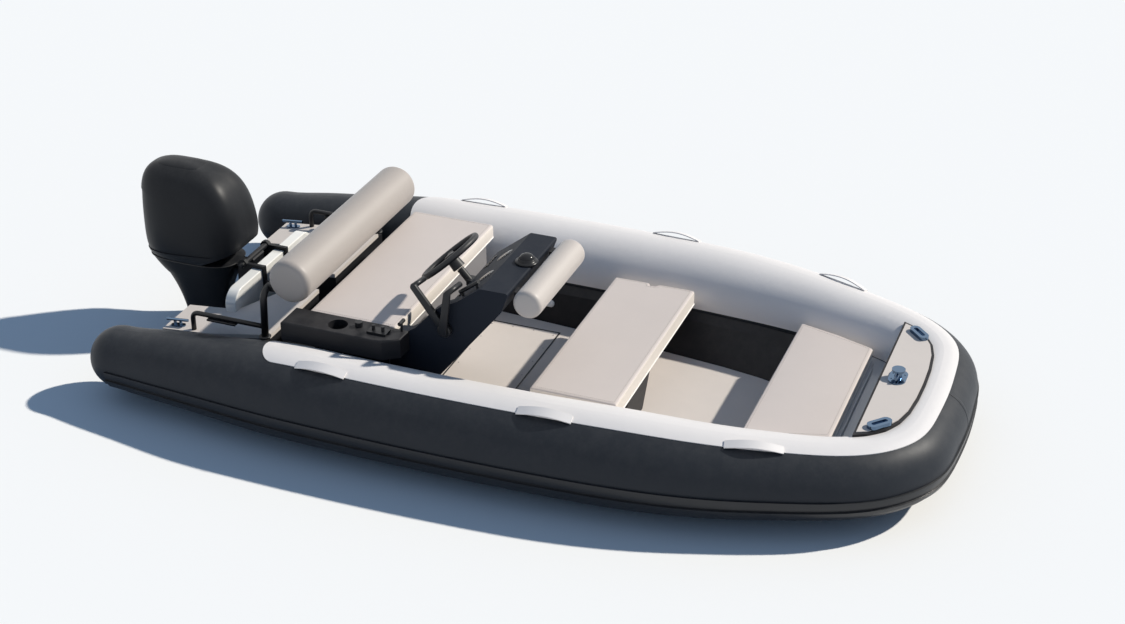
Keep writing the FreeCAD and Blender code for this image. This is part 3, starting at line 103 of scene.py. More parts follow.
class Finishes:
    """All finishes of the boat, by the record's slot names."""

    TABLE = {
        "tube_charcoal": Finish("tube_charcoal", (0.0190, 0.0228, 0.0295), 0.46, Pattern.WEAVE, 1500, 0.00006,
                                0.08, 0.06, specular=0.20, dust=0.03),
        "tube_white": Finish("tube_white", (0.78, 0.75, 0.735), 0.46, Pattern.WEAVE, 1500, 0.00006, 0.03, 0.06,
                             dust=0.02),
        "strake_black": Finish("strake_black", (0.013, 0.0145, 0.018), 0.36, Pattern.MOULDED, 260, 0.00008, 0.12,
                               0.10, specular=0.4, dust=0.04),
        "gelcoat_white": Finish("gelcoat_white", (0.84, 0.83, 0.79), 0.20, Pattern.MOULDED, 46, 0.00005, 0.025,
                                0.05, coat=0.6, coat_roughness=0.06, dust=0.02),
        "gelcoat_grey": Finish("gelcoat_grey", (0.60, 0.575, 0.56), 0.30, Pattern.MOULDED, 60, 0.00005, 0.03, 0.06,
                               coat=0.35, coat_roughness=0.12, dust=0.03),
        "moulding_dark": Finish("moulding_dark", (0.0175, 0.0175, 0.020), 0.48, Pattern.MOULDED, 220, 0.00009,
                                0.10, 0.08, specular=0.18, dust=0.03),
        "deck_foam": Finish("deck_foam", (0.63, 0.575, 0.535), 0.72, Pattern.FOAM, 900, 0.00018, 0.06, 0.06,
                            dust=0.04),
        "vinyl_cream": Finish("vinyl_cream", (0.60, 0.535, 0.50), 0.50, Pattern.HIDE, 520, 0.00016, 0.05, 0.07,
                              sheen=0.12, dust=0.02),
        "instrument_black": Finish("instrument_black", (0.010, 0.011, 0.014), 0.30, Pattern.MOULDED, 90, 0.00004,
                                   0.08, 0.05, specular=0.25),
        "wheel_black": Finish("wheel_black", (0.012, 0.013, 0.016), 0.46, Pattern.GRAIN, 1300, 0.00010, 0.10, 0.10,
                              specular=0.36, dust=0.03),
        "metal_black": Finish("metal_black", (0.009, 0.010, 0.0125), 0.38, Pattern.CAST, 700, 0.00005, 0.10, 0.08,
                              specular=0.34, dust=0.02),
        # The blue tint of the stainless colour is painted reflection of a blue sky.
        "stainless": Finish("stainless", (0.13, 0.20, 0.30), 0.13, Pattern.CLEAN, 300, 0.00002, 0.03, 0.05,
                            metallic=1.0),
        "engine_casting": Finish("engine_casting", (0.0095, 0.0105, 0.013), 0.46, Pattern.CAST, 420, 0.00012, 0.12,
                                 0.09, specular=0.20, dust=0.03),
        "cowl_black": Finish("cowl_black", (0.0135, 0.0150, 0.0180), 0.42, Pattern.MOULDED, 130, 0.00006, 0.08,
                             0.05, specular=0.17, dust=0.02),
        "engine_iron": Finish("engine_iron", (0.05, 0.05, 0.055), 0.62, Pattern.CAST, 260, 0.0003, 0.15, 0.12),
        "prop_metal": Finish("prop_metal", (0.018, 0.020, 0.024), 0.28, Pattern.CAST, 380, 0.00008, 0.10, 0.10,
                             coat=0.3, coat_roughness=0.12),
    }
    EXTRA = {
        "vinyl_pale": Finish("vinyl_pale", (0.80, 0.73, 0.66), 0.50, Pattern.HIDE, 520, 0.00014, 0.04, 0.06,
                             sheen=0.12, dust=0.02),
        "vinyl_sand": Finish("vinyl_sand", (0.50, 0.455, 0.42), 0.50, Pattern.HIDE, 520, 0.00016, 0.05, 0.07,
                             sheen=0.12, dust=0.02),
        # Dark console colour with a blue tint that is painted reflection of a blue sky.
        "console_dark_painted_reflection": Finish("console_dark_painted_reflection", (0.0140, 0.0178, 0.0265), 0.60, Pattern.MOULDED, 220, 0.00009, 0.10,
                               0.08, specular=0.12, dust=0.01),
        # Dark grey: on the bench's front panel it is painted shade over a light grey surface; the floor screws
        # wear it as their own grey.
        "grey_and_painted_shade": Finish("grey_and_painted_shade", (0.27, 0.26, 0.265), 0.34, Pattern.MOULDED, 90, 0.00005, 0.04, 0.06,
                             dust=0.03),
        # The cushions' cream vinyl made darker as painted shade, for the backrest roll.
        "vinyl_painted_shade": Finish("vinyl_painted_shade", (0.39, 0.35, 0.32), 0.50, Pattern.HIDE, 520, 0.00016, 0.05, 0.07,
                              sheen=0.12, dust=0.02),
        "piping_cream": Finish("piping_cream", (0.86, 0.83, 0.79), 0.46, Pattern.HIDE, 700, 0.00010, 0.05, 0.06),
        "thread_stone": Finish("thread_stone", (0.44, 0.40, 0.37), 0.62, Pattern.GRAIN, 2400, 0.00008, 0.08, 0.06),
        "seal_rubber": Finish("seal_rubber", (0.009, 0.0095, 0.011), 0.55, Pattern.GRAIN, 900, 0.00008, 0.10,
                              0.08),
        "lens_white": Finish("lens_white", (0.88, 0.88, 0.86), 0.18, Pattern.CLEAN, 200, 0.00002, 0.02, 0.03,
                             coat=0.5),
        "cap_glass": Finish("cap_glass", (0.016, 0.017, 0.020), 0.16, Pattern.CLEAN, 200, 0.00001, 0.02, 0.02,
                            specular=0.22),
        "anode_zinc": Finish("anode_zinc", (0.40, 0.41, 0.42), 0.58, Pattern.CAST, 300, 0.0003, 0.15, 0.12,
                             metallic=1.0),
    }

    def __init__(self) -> None:
        """Start with no material made."""
        self.groups = SurfaceGroups()
        self.made: dict[str, bpy.types.Material] = {}

    def get(self, name: str) -> bpy.types.Material:
        """Return the material of a finish, and make it the first time.

        Args:
            name: The finish's name, a record slot or one of the extra finishes.

        Returns:
            The Blender material.
        """
        if name not in self.made:
            finish = self.TABLE.get(name) or self.EXTRA[name]
            self.made[name] = MaterialMaker(finish, self.groups).build()
        return self.made[name]


class SurfaceGroups:
    """Shader node groups that several finishes share."""

    def __init__(self) -> None:
        """Build each group once."""
        self.relief = {
            Pattern.GRAIN: self._noise_relief("grain_relief", 2.0, 0.6, 1.0),
            Pattern.HIDE: self._hide_relief(),
            Pattern.WEAVE: self._weave_relief(),
            Pattern.MOULDED: self._noise_relief("moulded_relief", 1.0, 0.45, 0.6),
            Pattern.FOAM: self._foam_relief(),
            Pattern.CAST: self._noise_relief("cast_relief", 4.0, 0.7, 1.4),
            Pattern.CLEAN: self._noise_relief("polish_relief", 1.0, 0.4, 0.4),
        }
        self.mottle = self._mottle()
        self.dust = self._dust()

    @staticmethod
    def _new(name: str, inputs: dict[str, float], outputs: Sequence[str]) -> Tree:
        """Make an empty shader group that takes surface coordinates and numbers.

        Args:
            name: The group's name.
            inputs: Its number inputs and their defaults.
            outputs: Its number outputs.

        Returns:
            The tree, its input node and its output node.
        """
        tree = bpy.data.node_groups.new(name, "ShaderNodeTree")
        tree.interface.new_socket(name="Vector", in_out="INPUT", socket_type="NodeSocketVector")
        for label, value in inputs.items():
            socket = tree.interface.new_socket(name=label, in_out="INPUT", socket_type="NodeSocketFloat")
            socket.default_value = value
        for label in outputs:
            tree.interface.new_socket(name=label, in_out="OUTPUT", socket_type="NodeSocketFloat")
        return tree, tree.nodes.new("NodeGroupInput"), tree.nodes.new("NodeGroupOutput")

    @staticmethod
    def _feed(tree: bpy.types.NodeTree, slot: Socket, value: Socket | float) -> None:
        """Set an input socket to a number, or link it to another node's output.

        Args:
            tree: The shader tree.
            slot: The input socket.
            value: A number or an output socket.
        """
        if isinstance(value, (int, float)):
            slot.default_value = value
        else:
            tree.links.new(value, slot)

    def _math(self, tree: bpy.types.NodeTree, kind: str, *values: Socket | float) -> Socket:
        """Add a math node.

        Args:
            tree: The shader tree.
            kind: The operation.
            *values: Numbers or sockets for its inputs.

        Returns:
            The node's output.
        """
        node = tree.nodes.new("ShaderNodeMath")
        node.operation = kind
        for slot, value in zip(node.inputs, values):
            self._feed(tree, slot, value)
        return node.outputs[0]

    def _noise(self, tree: bpy.types.NodeTree, place: Socket, scale: Socket | float, detail: float,
               rough: float) -> Socket:
        """Add a noise texture.

        Args:
            tree: The shader tree.
            place: The surface coordinates.
            scale: The noise's scale, a number or a socket.
            detail: How many octaves it has.
            rough: How strong the finer octaves are.

        Returns:
            The noise's value.
        """
        node = tree.nodes.new("ShaderNodeTexNoise")
        node.inputs["Detail"].default_value = detail
        node.inputs["Roughness"].default_value = rough
        tree.links.new(place, node.inputs["Vector"])
        self._feed(tree, node.inputs["Scale"], scale)
        return node.outputs["Fac"]

    def _noise_relief(self, name: str, detail: float, rough: float, broad: float) -> bpy.types.NodeTree:
        """Build a relief of fine noise over a broader one.

        Args:
            name: The group's name.
            detail: The fine noise's octaves.
            rough: The fine noise's roughness.
            broad: How much the broader noise counts.

        Returns:
            The group.
        """
        tree, start, end = self._new(name, {"Scale": 400}, ["Height"])
        place, scale = start.outputs["Vector"], start.outputs["Scale"]
        fine = self._noise(tree, place, scale, detail, rough)
        wide = self._noise(tree, place, self._math(tree, "MULTIPLY", scale, 0.13), 1.0, 0.5)
        height = self._math(tree, "ADD", fine, self._math(tree, "MULTIPLY", wide, broad))
        tree.links.new(height, end.inputs["Height"])
        return tree

    def _hide_relief(self) -> bpy.types.NodeTree:
        """Build the pebbled relief of marine vinyl.

        Returns:
            The group.
        """
        tree, start, end = self._new("hide_relief", {"Scale": 500}, ["Height"])
        place = start.outputs["Vector"]
        cells = tree.nodes.new("ShaderNodeTexVoronoi")
        cells.feature = "DISTANCE_TO_EDGE"
        tree.links.new(place, cells.inputs["Vector"])
        tree.links.new(start.outputs["Scale"], cells.inputs["Scale"])
        pebble = self._math(tree, "MINIMUM", cells.outputs["Distance"], 0.22)
        wrinkle = self._noise(tree, place, 22.0, 3.0, 0.55)
        height = self._math(tree, "ADD", self._math(tree, "MULTIPLY", pebble, 2.4),
                            self._math(tree, "MULTIPLY", wrinkle, 1.3))
        tree.links.new(height, end.inputs["Height"])
        return tree

    def _weave_relief(self) -> bpy.types.NodeTree:
        """Build the faint weave that shows through a coated fabric.

        Returns:
            The group.
        """
        tree, start, end = self._new("weave_relief", {"Scale": 1500}, ["Height"])
        threads = []
        for direction in ("X", "Z"):
            wave = tree.nodes.new("ShaderNodeTexWave")
            wave.bands_direction = direction
            wave.inputs["Distortion"].default_value = 0.4
            tree.links.new(start.outputs["Vector"], wave.inputs["Vector"])
            tree.links.new(start.outputs["Scale"], wave.inputs["Scale"])
            threads.append(wave.outputs["Fac"])
        cloth = self._math(tree, "MULTIPLY", *threads)
        slow = self._noise(tree, start.outputs["Vector"], 3.0, 2.0, 0.5)
        height = self._math(tree, "ADD", cloth, self._math(tree, "MULTIPLY", slow, 6.0))
        tree.links.new(height, end.inputs["Height"])
        return tree

    def _foam_relief(self) -> bpy.types.NodeTree:
        """Build the brushed, non-slip relief of foam decking.

        Returns:
            The group.
        """
        tree, start, end = self._new("foam_relief", {"Scale": 900}, ["Height"])
        place, scale = start.outputs["Vector"], start.outputs["Scale"]
        fine = self._noise(tree, place, scale, 3.0, 0.7)
        dimple = tree.nodes.new("ShaderNodeTexVoronoi")
        tree.links.new(place, dimple.inputs["Vector"])
        tree.links.new(self._math(tree, "MULTIPLY", scale, 0.35), dimple.inputs["Scale"])
        height = self._math(tree, "ADD", fine, self._math(tree, "MULTIPLY", dimple.outputs["Distance"], 0.8))
        tree.links.new(height, end.inputs["Height"])
        return tree

    def _mottle(self) -> bpy.types.NodeTree:
        """Build slow colour and gloss variation over a surface.

        Returns:
            The group.
        """
        tree, start, end = self._new("slow_mottle", {}, ["Tone", "Gloss"])
        for label, settings in (("Tone", (2.6, 4.0, 0.62)), ("Gloss", (9.0, 6.0, 0.7))):
            tree.links.new(self._noise(tree, start.outputs["Vector"], *settings), end.inputs[label])
        return tree

    def _dust(self) -> bpy.types.NodeTree:
        """Build a mask of fine dust and dried salt that settles on what faces up.

        Returns:
            The group.
        """
        tree, start, end = self._new("settled_dust", {"Amount": 0.05}, ["Mask"])
        geometry = tree.nodes.new("ShaderNodeNewGeometry")
        split = tree.nodes.new("ShaderNodeSeparateXYZ")
        tree.links.new(geometry.outputs["Normal"], split.inputs[0])
        up = self._math(tree, "MAXIMUM", split.outputs["Z"], 0.0)
        patch = self._noise(tree, start.outputs["Vector"], 14.0, 8.0, 0.72)
        patch = self._math(tree, "MAXIMUM", self._math(tree, "SUBTRACT", patch, 0.42), 0.0)
        mask = self._math(tree, "MULTIPLY", self._math(tree, "MULTIPLY", up, patch), start.outputs["Amount"])
        tree.links.new(self._math(tree, "MULTIPLY", mask, 5.0), end.inputs["Mask"])
        return tree


class MaterialMaker:
    """Turns one finish into a node material."""

    BUMP_STRENGTH = 0.6
    SHEEN_ROUGHNESS = 0.4
    GLOSS_SPAN = (0.3, 0.7)
    SMOOTHEST = 0.03
    DUST_COLOUR = (0.42, 0.41, 0.39, 1.0)

    def __init__(self, finish: Finish, groups: SurfaceGroups) -> None:
        """Keep the finish and the shared groups."""
        self.finish = finish
        self.groups = groups

    def build(self) -> bpy.types.Material:
        """Build the material.

        Returns:
            The finished material.
        """
        f = self.finish
        mat = bpy.data.materials.new(f.name)
        mat.use_nodes = True
        tree = mat.node_tree
        tree.nodes.clear()
        out = tree.nodes.new("ShaderNodeOutputMaterial")
        skin = tree.nodes.new("ShaderNodeBsdfPrincipled")
        tree.links.new(skin.outputs[0], out.inputs["Surface"])
        place = tree.nodes.new("ShaderNodeTexCoord").outputs["Object"]
        for label, value in (("Metallic", f.metallic), ("Specular IOR Level", f.specular),
                             ("Coat Weight", f.coat), ("Coat Roughness", f.coat_roughness),
                             ("Sheen Weight", f.sheen), ("Sheen Roughness", self.SHEEN_ROUGHNESS)):
            skin.inputs[label].default_value = value
        mottle = self._group(tree, self.groups.mottle, place)
        self._colour(tree, skin, mottle, place)
        rough = tree.nodes.new("ShaderNodeMapRange")
        for label, value in (("From Min", self.GLOSS_SPAN[0]), ("From Max", self.GLOSS_SPAN[1]),
                             ("To Min", max(self.SMOOTHEST, f.roughness - f.rough_spread / 2)),
                             ("To Max", f.roughness + f.rough_spread / 2)):
            rough.inputs[label].default_value = value
        tree.links.new(mottle.outputs["Gloss"], rough.inputs["Value"])
        tree.links.new(rough.outputs[0], skin.inputs["Roughness"])
        relief = self._group(tree, self.groups.relief[f.pattern], place)
        relief.inputs["Scale"].default_value = f.scale
        bump = tree.nodes.new("ShaderNodeBump")
        bump.inputs["Strength"].default_value = self.BUMP_STRENGTH
        bump.inputs["Distance"].default_value = f.relief
        tree.links.new(relief.outputs["Height"], bump.inputs["Height"])
        tree.links.new(bump.outputs["Normal"], skin.inputs["Normal"])
        return mat

    @staticmethod
    def _group(tree: bpy.types.NodeTree, group: bpy.types.NodeTree, place: Socket) -> bpy.types.Node:
        """Place a shared group and give it the surface coordinates.

        Args:
            tree: The material's tree.
            group: The shared group.
            place: The surface coordinates.

        Returns:
            The group's node.
        """
        node = tree.nodes.new("ShaderNodeGroup")
        node.node_tree = group
        tree.links.new(place, node.inputs["Vector"])
        return node

    def _colour(self, tree: bpy.types.NodeTree, skin: bpy.types.Node, mottle: bpy.types.Node,
                place: Socket) -> None:
        """Wire the base colour: the finish's tone, its mottle and the dust.

        Args:
            tree: The material's tree.
            skin: The shader.
            mottle: The mottle group's node.
            place: The surface coordinates.
        """
        f = self.finish
        tone = tree.nodes.new("ShaderNodeMix")
        tone.data_type = "RGBA"
        tone.inputs["A"].default_value = [c * (1 - f.mottle) for c in f.colour] + [1.0]
        tone.inputs["B"].default_value = [min(1.0, c * (1 + f.mottle)) for c in f.colour] + [1.0]
        tree.links.new(mottle.outputs["Tone"], tone.inputs["Factor"])
        if not f.dust:
            tree.links.new(tone.outputs["Result"], skin.inputs["Base Color"])
            return
        dust = self._group(tree, self.groups.dust, place)
        dust.inputs["Amount"].default_value = f.dust
        over = tree.nodes.new("ShaderNodeMix")
        over.data_type = "RGBA"
        over.inputs["B"].default_value = self.DUST_COLOUR
        tree.links.new(tone.outputs["Result"], over.inputs["A"])
        tree.links.new(dust.outputs["Mask"], over.inputs["Factor"])
        tree.links.new(over.outputs["Result"], skin.inputs["Base Color"])


class Shapes:
    """Mesh helpers that every sub-assembly uses."""

    @staticmethod
    def link(name: str, data: bpy.types.ID) -> bpy.types.Object:
        """Make an object of some data and link it to the scene.

        Args:
            name: The object's name.
            data: Its mesh, camera or light.

        Returns:
            The new object.
        """
        obj = bpy.data.objects.new(name, data)
        bpy.context.scene.collection.objects.link(obj)
        return obj

    @staticmethod
    def object_of(name: str, bm: bmesh.types.BMesh, material: bpy.types.Material) -> bpy.types.Object:
        """Turn a bmesh into a smooth object with one material.

        Args:
            name: The object's name.
            bm: The mesh, which is freed.
            material: Its only material.

        Returns:
            The new object, linked to the scene.
        """
        bmesh.ops.recalc_face_normals(bm, faces=bm.faces)
        mesh = bpy.data.meshes.new(name)
        bm.to_mesh(mesh)
        bm.free()
        mesh.materials.append(material)
        for poly in mesh.polygons:
            poly.use_smooth = True
        return Shapes.link(name, mesh)

    @staticmethod
    def merged_copy(node: str) -> bmesh.types.BMesh:
        """Copy a CAD node's mesh and weld its loose triangles.

        Args:
            node: The CAD node.

        Returns:
            The welded mesh.
        """
        source = frame["nodes"][node]
        bm = bmesh.new()
        bm.from_mesh(source.data)
        bm.transform(source.matrix_world)
        bmesh.ops.remove_doubles(bm, verts=bm.verts, dist=1e-5)
        return bm

    @staticmethod
    def across(axis: Vector) -> Vector:
        """Return a unit direction square to an axis, level where the axis allows it."""
        side = axis.cross(UP)
        return (side if side.length >= 0.1 else axis.cross(AHEAD)).normalized()

    @staticmethod
    def ring(centre: Vector, side: Vector, other: Vector, radius: float, sides: int) -> list[Vector]:
        """Step round a circle.

        Args:
            centre: The circle's centre.
            side: The unit direction of the first point.
            other: The unit direction a quarter turn on.
            radius: The circle's radius.
            sides: How many points it has.

        Returns:
            The points of the circle.
        """
        turns = (2 * math.pi * k / sides for k in range(sides))
        return [centre + side * (radius * math.cos(t)) + other * (radius * math.sin(t)) for t in turns]

    @staticmethod
    def loft(bm: bmesh.types.BMesh, rings: Sequence[Sequence[Vector]],
             closed: bool = False) -> list[bmesh.types.BMFace]:
        """Join closed sections of equal count by quads, and cap both ends of an open run.

        Args:
            bm: The mesh to add to.
            rings: The sections, in order.
            closed: Whether the last section joins the first.

        Returns:
            The new faces.
        """
        verts = [[bm.verts.new(p) for p in ring] for ring in rings]
        faces = [] if closed else [bm.faces.new(verts[0][::-1]), bm.faces.new(verts[-1])]
        for a, b in zip(verts, verts[1:] + verts[:1] if closed else verts[1:]):
            for k, _ in enumerate(a):
                n = (k + 1) % len(a)
                faces.append(bm.faces.new((a[k], a[n], b[n], b[k])))
        return faces

    @staticmethod
    def tube(bm: bmesh.types.BMesh, path: Sequence[Vector], radius: float, sides: int = 8,
             closed: bool = False) -> None:
        """Add a round tube along a path.

        Args:
            bm: The mesh to add to.
            path: The points of its centre line.
            radius: Its radius.
            sides: How many sides its section has.
            closed: Whether the path is a loop.
        """
        count = len(path)
        rings = []
        side = None
        for i, p in enumerate(path):
            before = path[(i - 1) % count] if closed or i > 0 else p
            after = path[(i + 1) % count] if closed or i < count - 1 else p
            along = (after - before).normalized()
            side = Shapes.across(along) if side is None else side
            side = (side - along * side.dot(along)).normalized()
            rings.append(Shapes.ring(p, side, side.cross(along), radius, sides))
        Shapes.loft(bm, rings, closed)

    @staticmethod
    def bend(corners: Sequence[Vector], radius: float, steps: int = 8) -> list[Vector]:
        """Round the corners of a bent rod's path.

        Args:
            corners: The ends and corners of the path.
            radius: How far from a corner its rounding starts.
            steps: How many points each rounding has.

        Returns:
            The points of the rounded path.
        """
        points = [corners[0]]
        for before, corner, after in zip(corners[:-2], corners[1:-1], corners[2:]):
            start = corner + (before - corner).normalized() * radius
            end = corner + (after - corner).normalized() * radius
            points += [Shapes.arc(start, corner, end, k / steps) for k in range(steps + 1)]
        points.append(corners[-1])
        return points

    @staticmethod
    def arc(start: Vector, corner: Vector, end: Vector, share: float) -> Vector:
        """Return the point at a share of the smooth curve that rounds a corner."""
        return start * (1 - share) ** 2 + corner * (2 * share * (1 - share)) + end * share ** 2

    @staticmethod
    def rounded_box(bm: bmesh.types.BMesh, low: Point, high: Point, bevel: float, segments: int = 2) -> None:
        """Add a box with rounded edges between two corners.

        Args:
            bm: The mesh to add to.
            low: The lowest corner.
            high: The highest corner.
            bevel: How far the rounding reaches.
            segments: How many faces the rounding has.
        """
        made = bmesh.ops.create_cube(bm, size=1.0)
        size = Vector(high) - Vector(low)
        centre = (Vector(high) + Vector(low)) / 2
        for v in made["verts"]:
            v.co = v.co * size + centre
        edges = {e for v in made["verts"] for e in v.link_edges}
        bmesh.ops.bevel(bm, geom=list(edges), offset=bevel, segments=segments, affect="EDGES", profile=0.5)

    @staticmethod
    def lathe(bm: bmesh.types.BMesh, base: Vector, axis: Vector, profile: Sequence[Flat],
              sides: int = 32) -> None:
        """Add a turned piece with closed ends.

        Args:
            bm: The mesh to add to.
            base: The point from which the profile is measured.
            axis: The direction of its axis.
            profile: Pairs of the distance along the axis and the radius.
            sides: How many sides it has.
        """
        axis = axis.normalized()
        side = Shapes.across(axis)
        Shapes.loft(bm, [Shapes.ring(base + axis * along, side, axis.cross(side), radius, sides)
                         for along, radius in profile])

    @staticmethod
    def surface_of(obj: bpy.types.Object) -> BVHTree:
        """Make a search tree of an object's mesh at rest.

        Args:
            obj: The object.

        Returns:
            The search tree.
        """
        bm = bmesh.new()
        bm.from_mesh(obj.data)
        bm.transform(obj.matrix_world)
        tree = BVHTree.FromBMesh(bm)
        bm.free()
        return tree


class Repeats:
    """Geometry Nodes trees for what repeats: stitches along a path and screws on a surface."""

    def __init__(self) -> None:
        """Build both trees."""
        self.stitch_tree = self._stitches()
        self.screw_tree = self._screws()

    @staticmethod
    def _new(name: str, lengths: dict[str, float], seed: int) -> Tree:
        """Make an empty geometry tree with its sizes, its seed and its material as inputs.

        Args:
            name: The tree's name.
            lengths: The number inputs and their defaults.
            seed: The default of its seed.

        Returns:
            The tree, its input node and its output node.
        """
        tree = bpy.data.node_groups.new(name, "GeometryNodeTree")
        sides = tree.interface
        sides.new_socket(name="Geometry", in_out="INPUT", socket_type="NodeSocketGeometry")
        for label, value in lengths.items():
            sides.new_socket(name=label, in_out="INPUT", socket_type="NodeSocketFloat").default_value = value
        sides.new_socket(name="Seed", in_out="INPUT", socket_type="NodeSocketInt").default_value = seed
        sides.new_socket(name="Material", in_out="INPUT", socket_type="NodeSocketMaterial")
        sides.new_socket(name="Geometry", in_out="OUTPUT", socket_type="NodeSocketGeometry")
        return tree, tree.nodes.new("NodeGroupInput"), tree.nodes.new("NodeGroupOutput")

    @staticmethod
    def _finish(whole: Tree, points: Socket, turn: Socket, piece: Socket, spread: float) -> bpy.types.NodeTree:
        """Set a piece on each point at a slightly varied size, realize all and give them the material.

        Args:
            whole: The tree, its input node and its output node.
            points: The points.
            turn: Each point's rotation.
            piece: The mesh that is repeated.
            spread: How far the size may vary.

        Returns:
            The finished tree.
        """
        tree, start, end = whole
        vary = tree.nodes.new("FunctionNodeRandomValue")
        vary.data_type = "FLOAT"
        vary.inputs[2].default_value = 1 - spread
        vary.inputs[3].default_value = 1 + spread
        place = tree.nodes.new("GeometryNodeInstanceOnPoints")
        real = tree.nodes.new("GeometryNodeRealizeInstances")
        dress = tree.nodes.new("GeometryNodeSetMaterial")
        for source, node, slot in ((start.outputs["Seed"], vary, "Seed"), (points, place, "Points"),
                                   (turn, place, "Rotation"), (piece, place, "Instance"),
                                   (vary.outputs[1], place, "Scale"),
                                   (place.outputs["Instances"], real, "Geometry"),
                                   (real.outputs["Geometry"], dress, "Geometry"),
                                   (start.outputs["Material"], dress, "Material"),
                                   (dress.outputs["Geometry"], end, "Geometry")):
            tree.links.new(source, node.inputs[slot])
        return tree

    def _stitches(self) -> bpy.types.NodeTree:
        """Build the tree that lays thread stitches along the edges of a path mesh.

        Returns:
            The tree.
        """
        whole = self._new("thread_stitches", {"Pitch": 0.009, "Length": 0.006, "Thread Radius": 0.0007}, 7)
        tree, start, _ = whole
        curve = tree.nodes.new("GeometryNodeMeshToCurve")
        points = tree.nodes.new("GeometryNodeCurveToPoints")
        points.mode = "LENGTH"
        thread = tree.nodes.new("GeometryNodeMeshCylinder")
        thread.inputs["Vertices"].default_value = 6
        for source, node, slot in ((start.outputs["Geometry"], curve, "Mesh"),
                                   (curve.outputs["Curve"], points, "Curve"),
                                   (start.outputs["Pitch"], points, "Length"),
                                   (start.outputs["Thread Radius"], thread, "Radius"),
                                   (start.outputs["Length"], thread, "Depth")):
            tree.links.new(source, node.inputs[slot])
        return self._finish(whole, points.outputs["Points"], points.outputs["Rotation"],
                            thread.outputs["Mesh"], 0.1)

    def _screws(self) -> bpy.types.NodeTree:
        """Build the tree that sets a domed screw head on each vertex, along the vertex's aim.

        Returns:
            The tree.
        """
        whole = self._new("screw_heads", {"Head Radius": 0.005, "Head Height": 0.002}, 3)
        tree, start, _ = whole
        points = tree.nodes.new("GeometryNodeMeshToPoints")
        aim = tree.nodes.new("GeometryNodeInputNamedAttribute")
        aim.data_type = "FLOAT_VECTOR"
        aim.inputs["Name"].default_value = "aim"
        turn = tree.nodes.new("FunctionNodeAlignRotationToVector")
        turn.axis = "Z"
        head = tree.nodes.new("GeometryNodeMeshCone")
        head.inputs["Vertices"].default_value = 12
        shrink = tree.nodes.new("ShaderNodeMath")
        shrink.operation = "MULTIPLY"
        shrink.inputs[1].default_value = 0.72
        for source, node, slot in ((start.outputs["Geometry"], points, "Mesh"),
                                   (aim.outputs["Attribute"], turn, "Vector"),
                                   (start.outputs["Head Radius"], head, "Radius Bottom"),
                                   (start.outputs["Head Radius"], shrink, 0),
                                   (shrink.outputs[0], head, "Radius Top"),
                                   (start.outputs["Head Height"], head, "Depth")):
            tree.links.new(source, node.inputs[slot])
        return self._finish(whole, points.outputs["Points"], turn.outputs["Rotation"],
                            head.outputs["Mesh"], 0.03)

    @staticmethod
    def _apply(name: str, carrier: bpy.types.Object, tree: bpy.types.NodeTree,
               values: dict[str, object]) -> bpy.types.Object:
        """Run a tree on a carrier mesh and keep the plain result.

        Args:
            name: The new piece's name.
            carrier: The object that holds the path or the points; it is removed.
            tree: The tree to run.
            values: The tree's inputs by name.

        Returns:
            The finished object.
        """
        mod = carrier.modifiers.new("build", "NODES")
        mod.node_group = tree
        keys = {item.name: item.identifier for item in tree.interface.items_tree if item.in_out == "INPUT"}
        for label, value in values.items():
            mod[keys[label]] = value
        graph = bpy.context.evaluated_depsgraph_get()
        graph.update()
        mesh = bpy.data.meshes.new_from_object(carrier.evaluated_get(graph), preserve_all_data_layers=True,
                                               depsgraph=graph)
        mesh.name = name
        bpy.data.objects.remove(carrier)
        return Shapes.link(name, mesh)

    def stitches(self, name: str, paths: Sequence[Sequence[Vector]], material: bpy.types.Material,
                 pitch: float = 0.009) -> bpy.types.Object:
        """Lay stitches along paths.

        Args:
            name: The piece's name.
            paths: Open or closed runs of points; a closed one repeats its first point.
            material: The thread's material.
            pitch: The distance from stitch to stitch.

        Returns:
            The stitches as one mesh.
        """
        verts, edges = [], []
        for path in paths:
            first = len(verts)
            verts += [tuple(p) for p in path]
            edges += [(first + i, first + i + 1) for i in range(len(path) - 1)]
        mesh = bpy.data.meshes.new(name + "_path")
        mesh.from_pydata(verts, edges, [])
        return self._apply(name, Shapes.link(name + "_path", mesh), self.stitch_tree,
                           {"Pitch": pitch, "Length": pitch * 0.62, "Thread Radius": 0.0008,
                            "Material": material})

    def screws(self, name: str, places: Sequence[tuple[Vector, Vector]], radius: float,
               material: bpy.types.Material) -> bpy.types.Object:
        """Set screw heads at (point, direction) pairs.

        Args:
            name: The piece's name.
            places: Where each head sits and which way it faces.
            radius: The head's radius.
            material: The head's material.

        Returns:
            The heads as one mesh.
        """
        mesh = bpy.data.meshes.new(name + "_points")
        mesh.from_pydata([tuple(p) for p, _ in places], [], [])
        aim = mesh.attributes.new("aim", "FLOAT_VECTOR", "POINT")
        for item, (_, way) in zip(aim.data, places):
            item.vector = way
        return self._apply(name, Shapes.link(name + "_points", mesh), self.screw_tree,
                           {"Head Radius": radius, "Head Height": radius * 0.4, "Material": material})


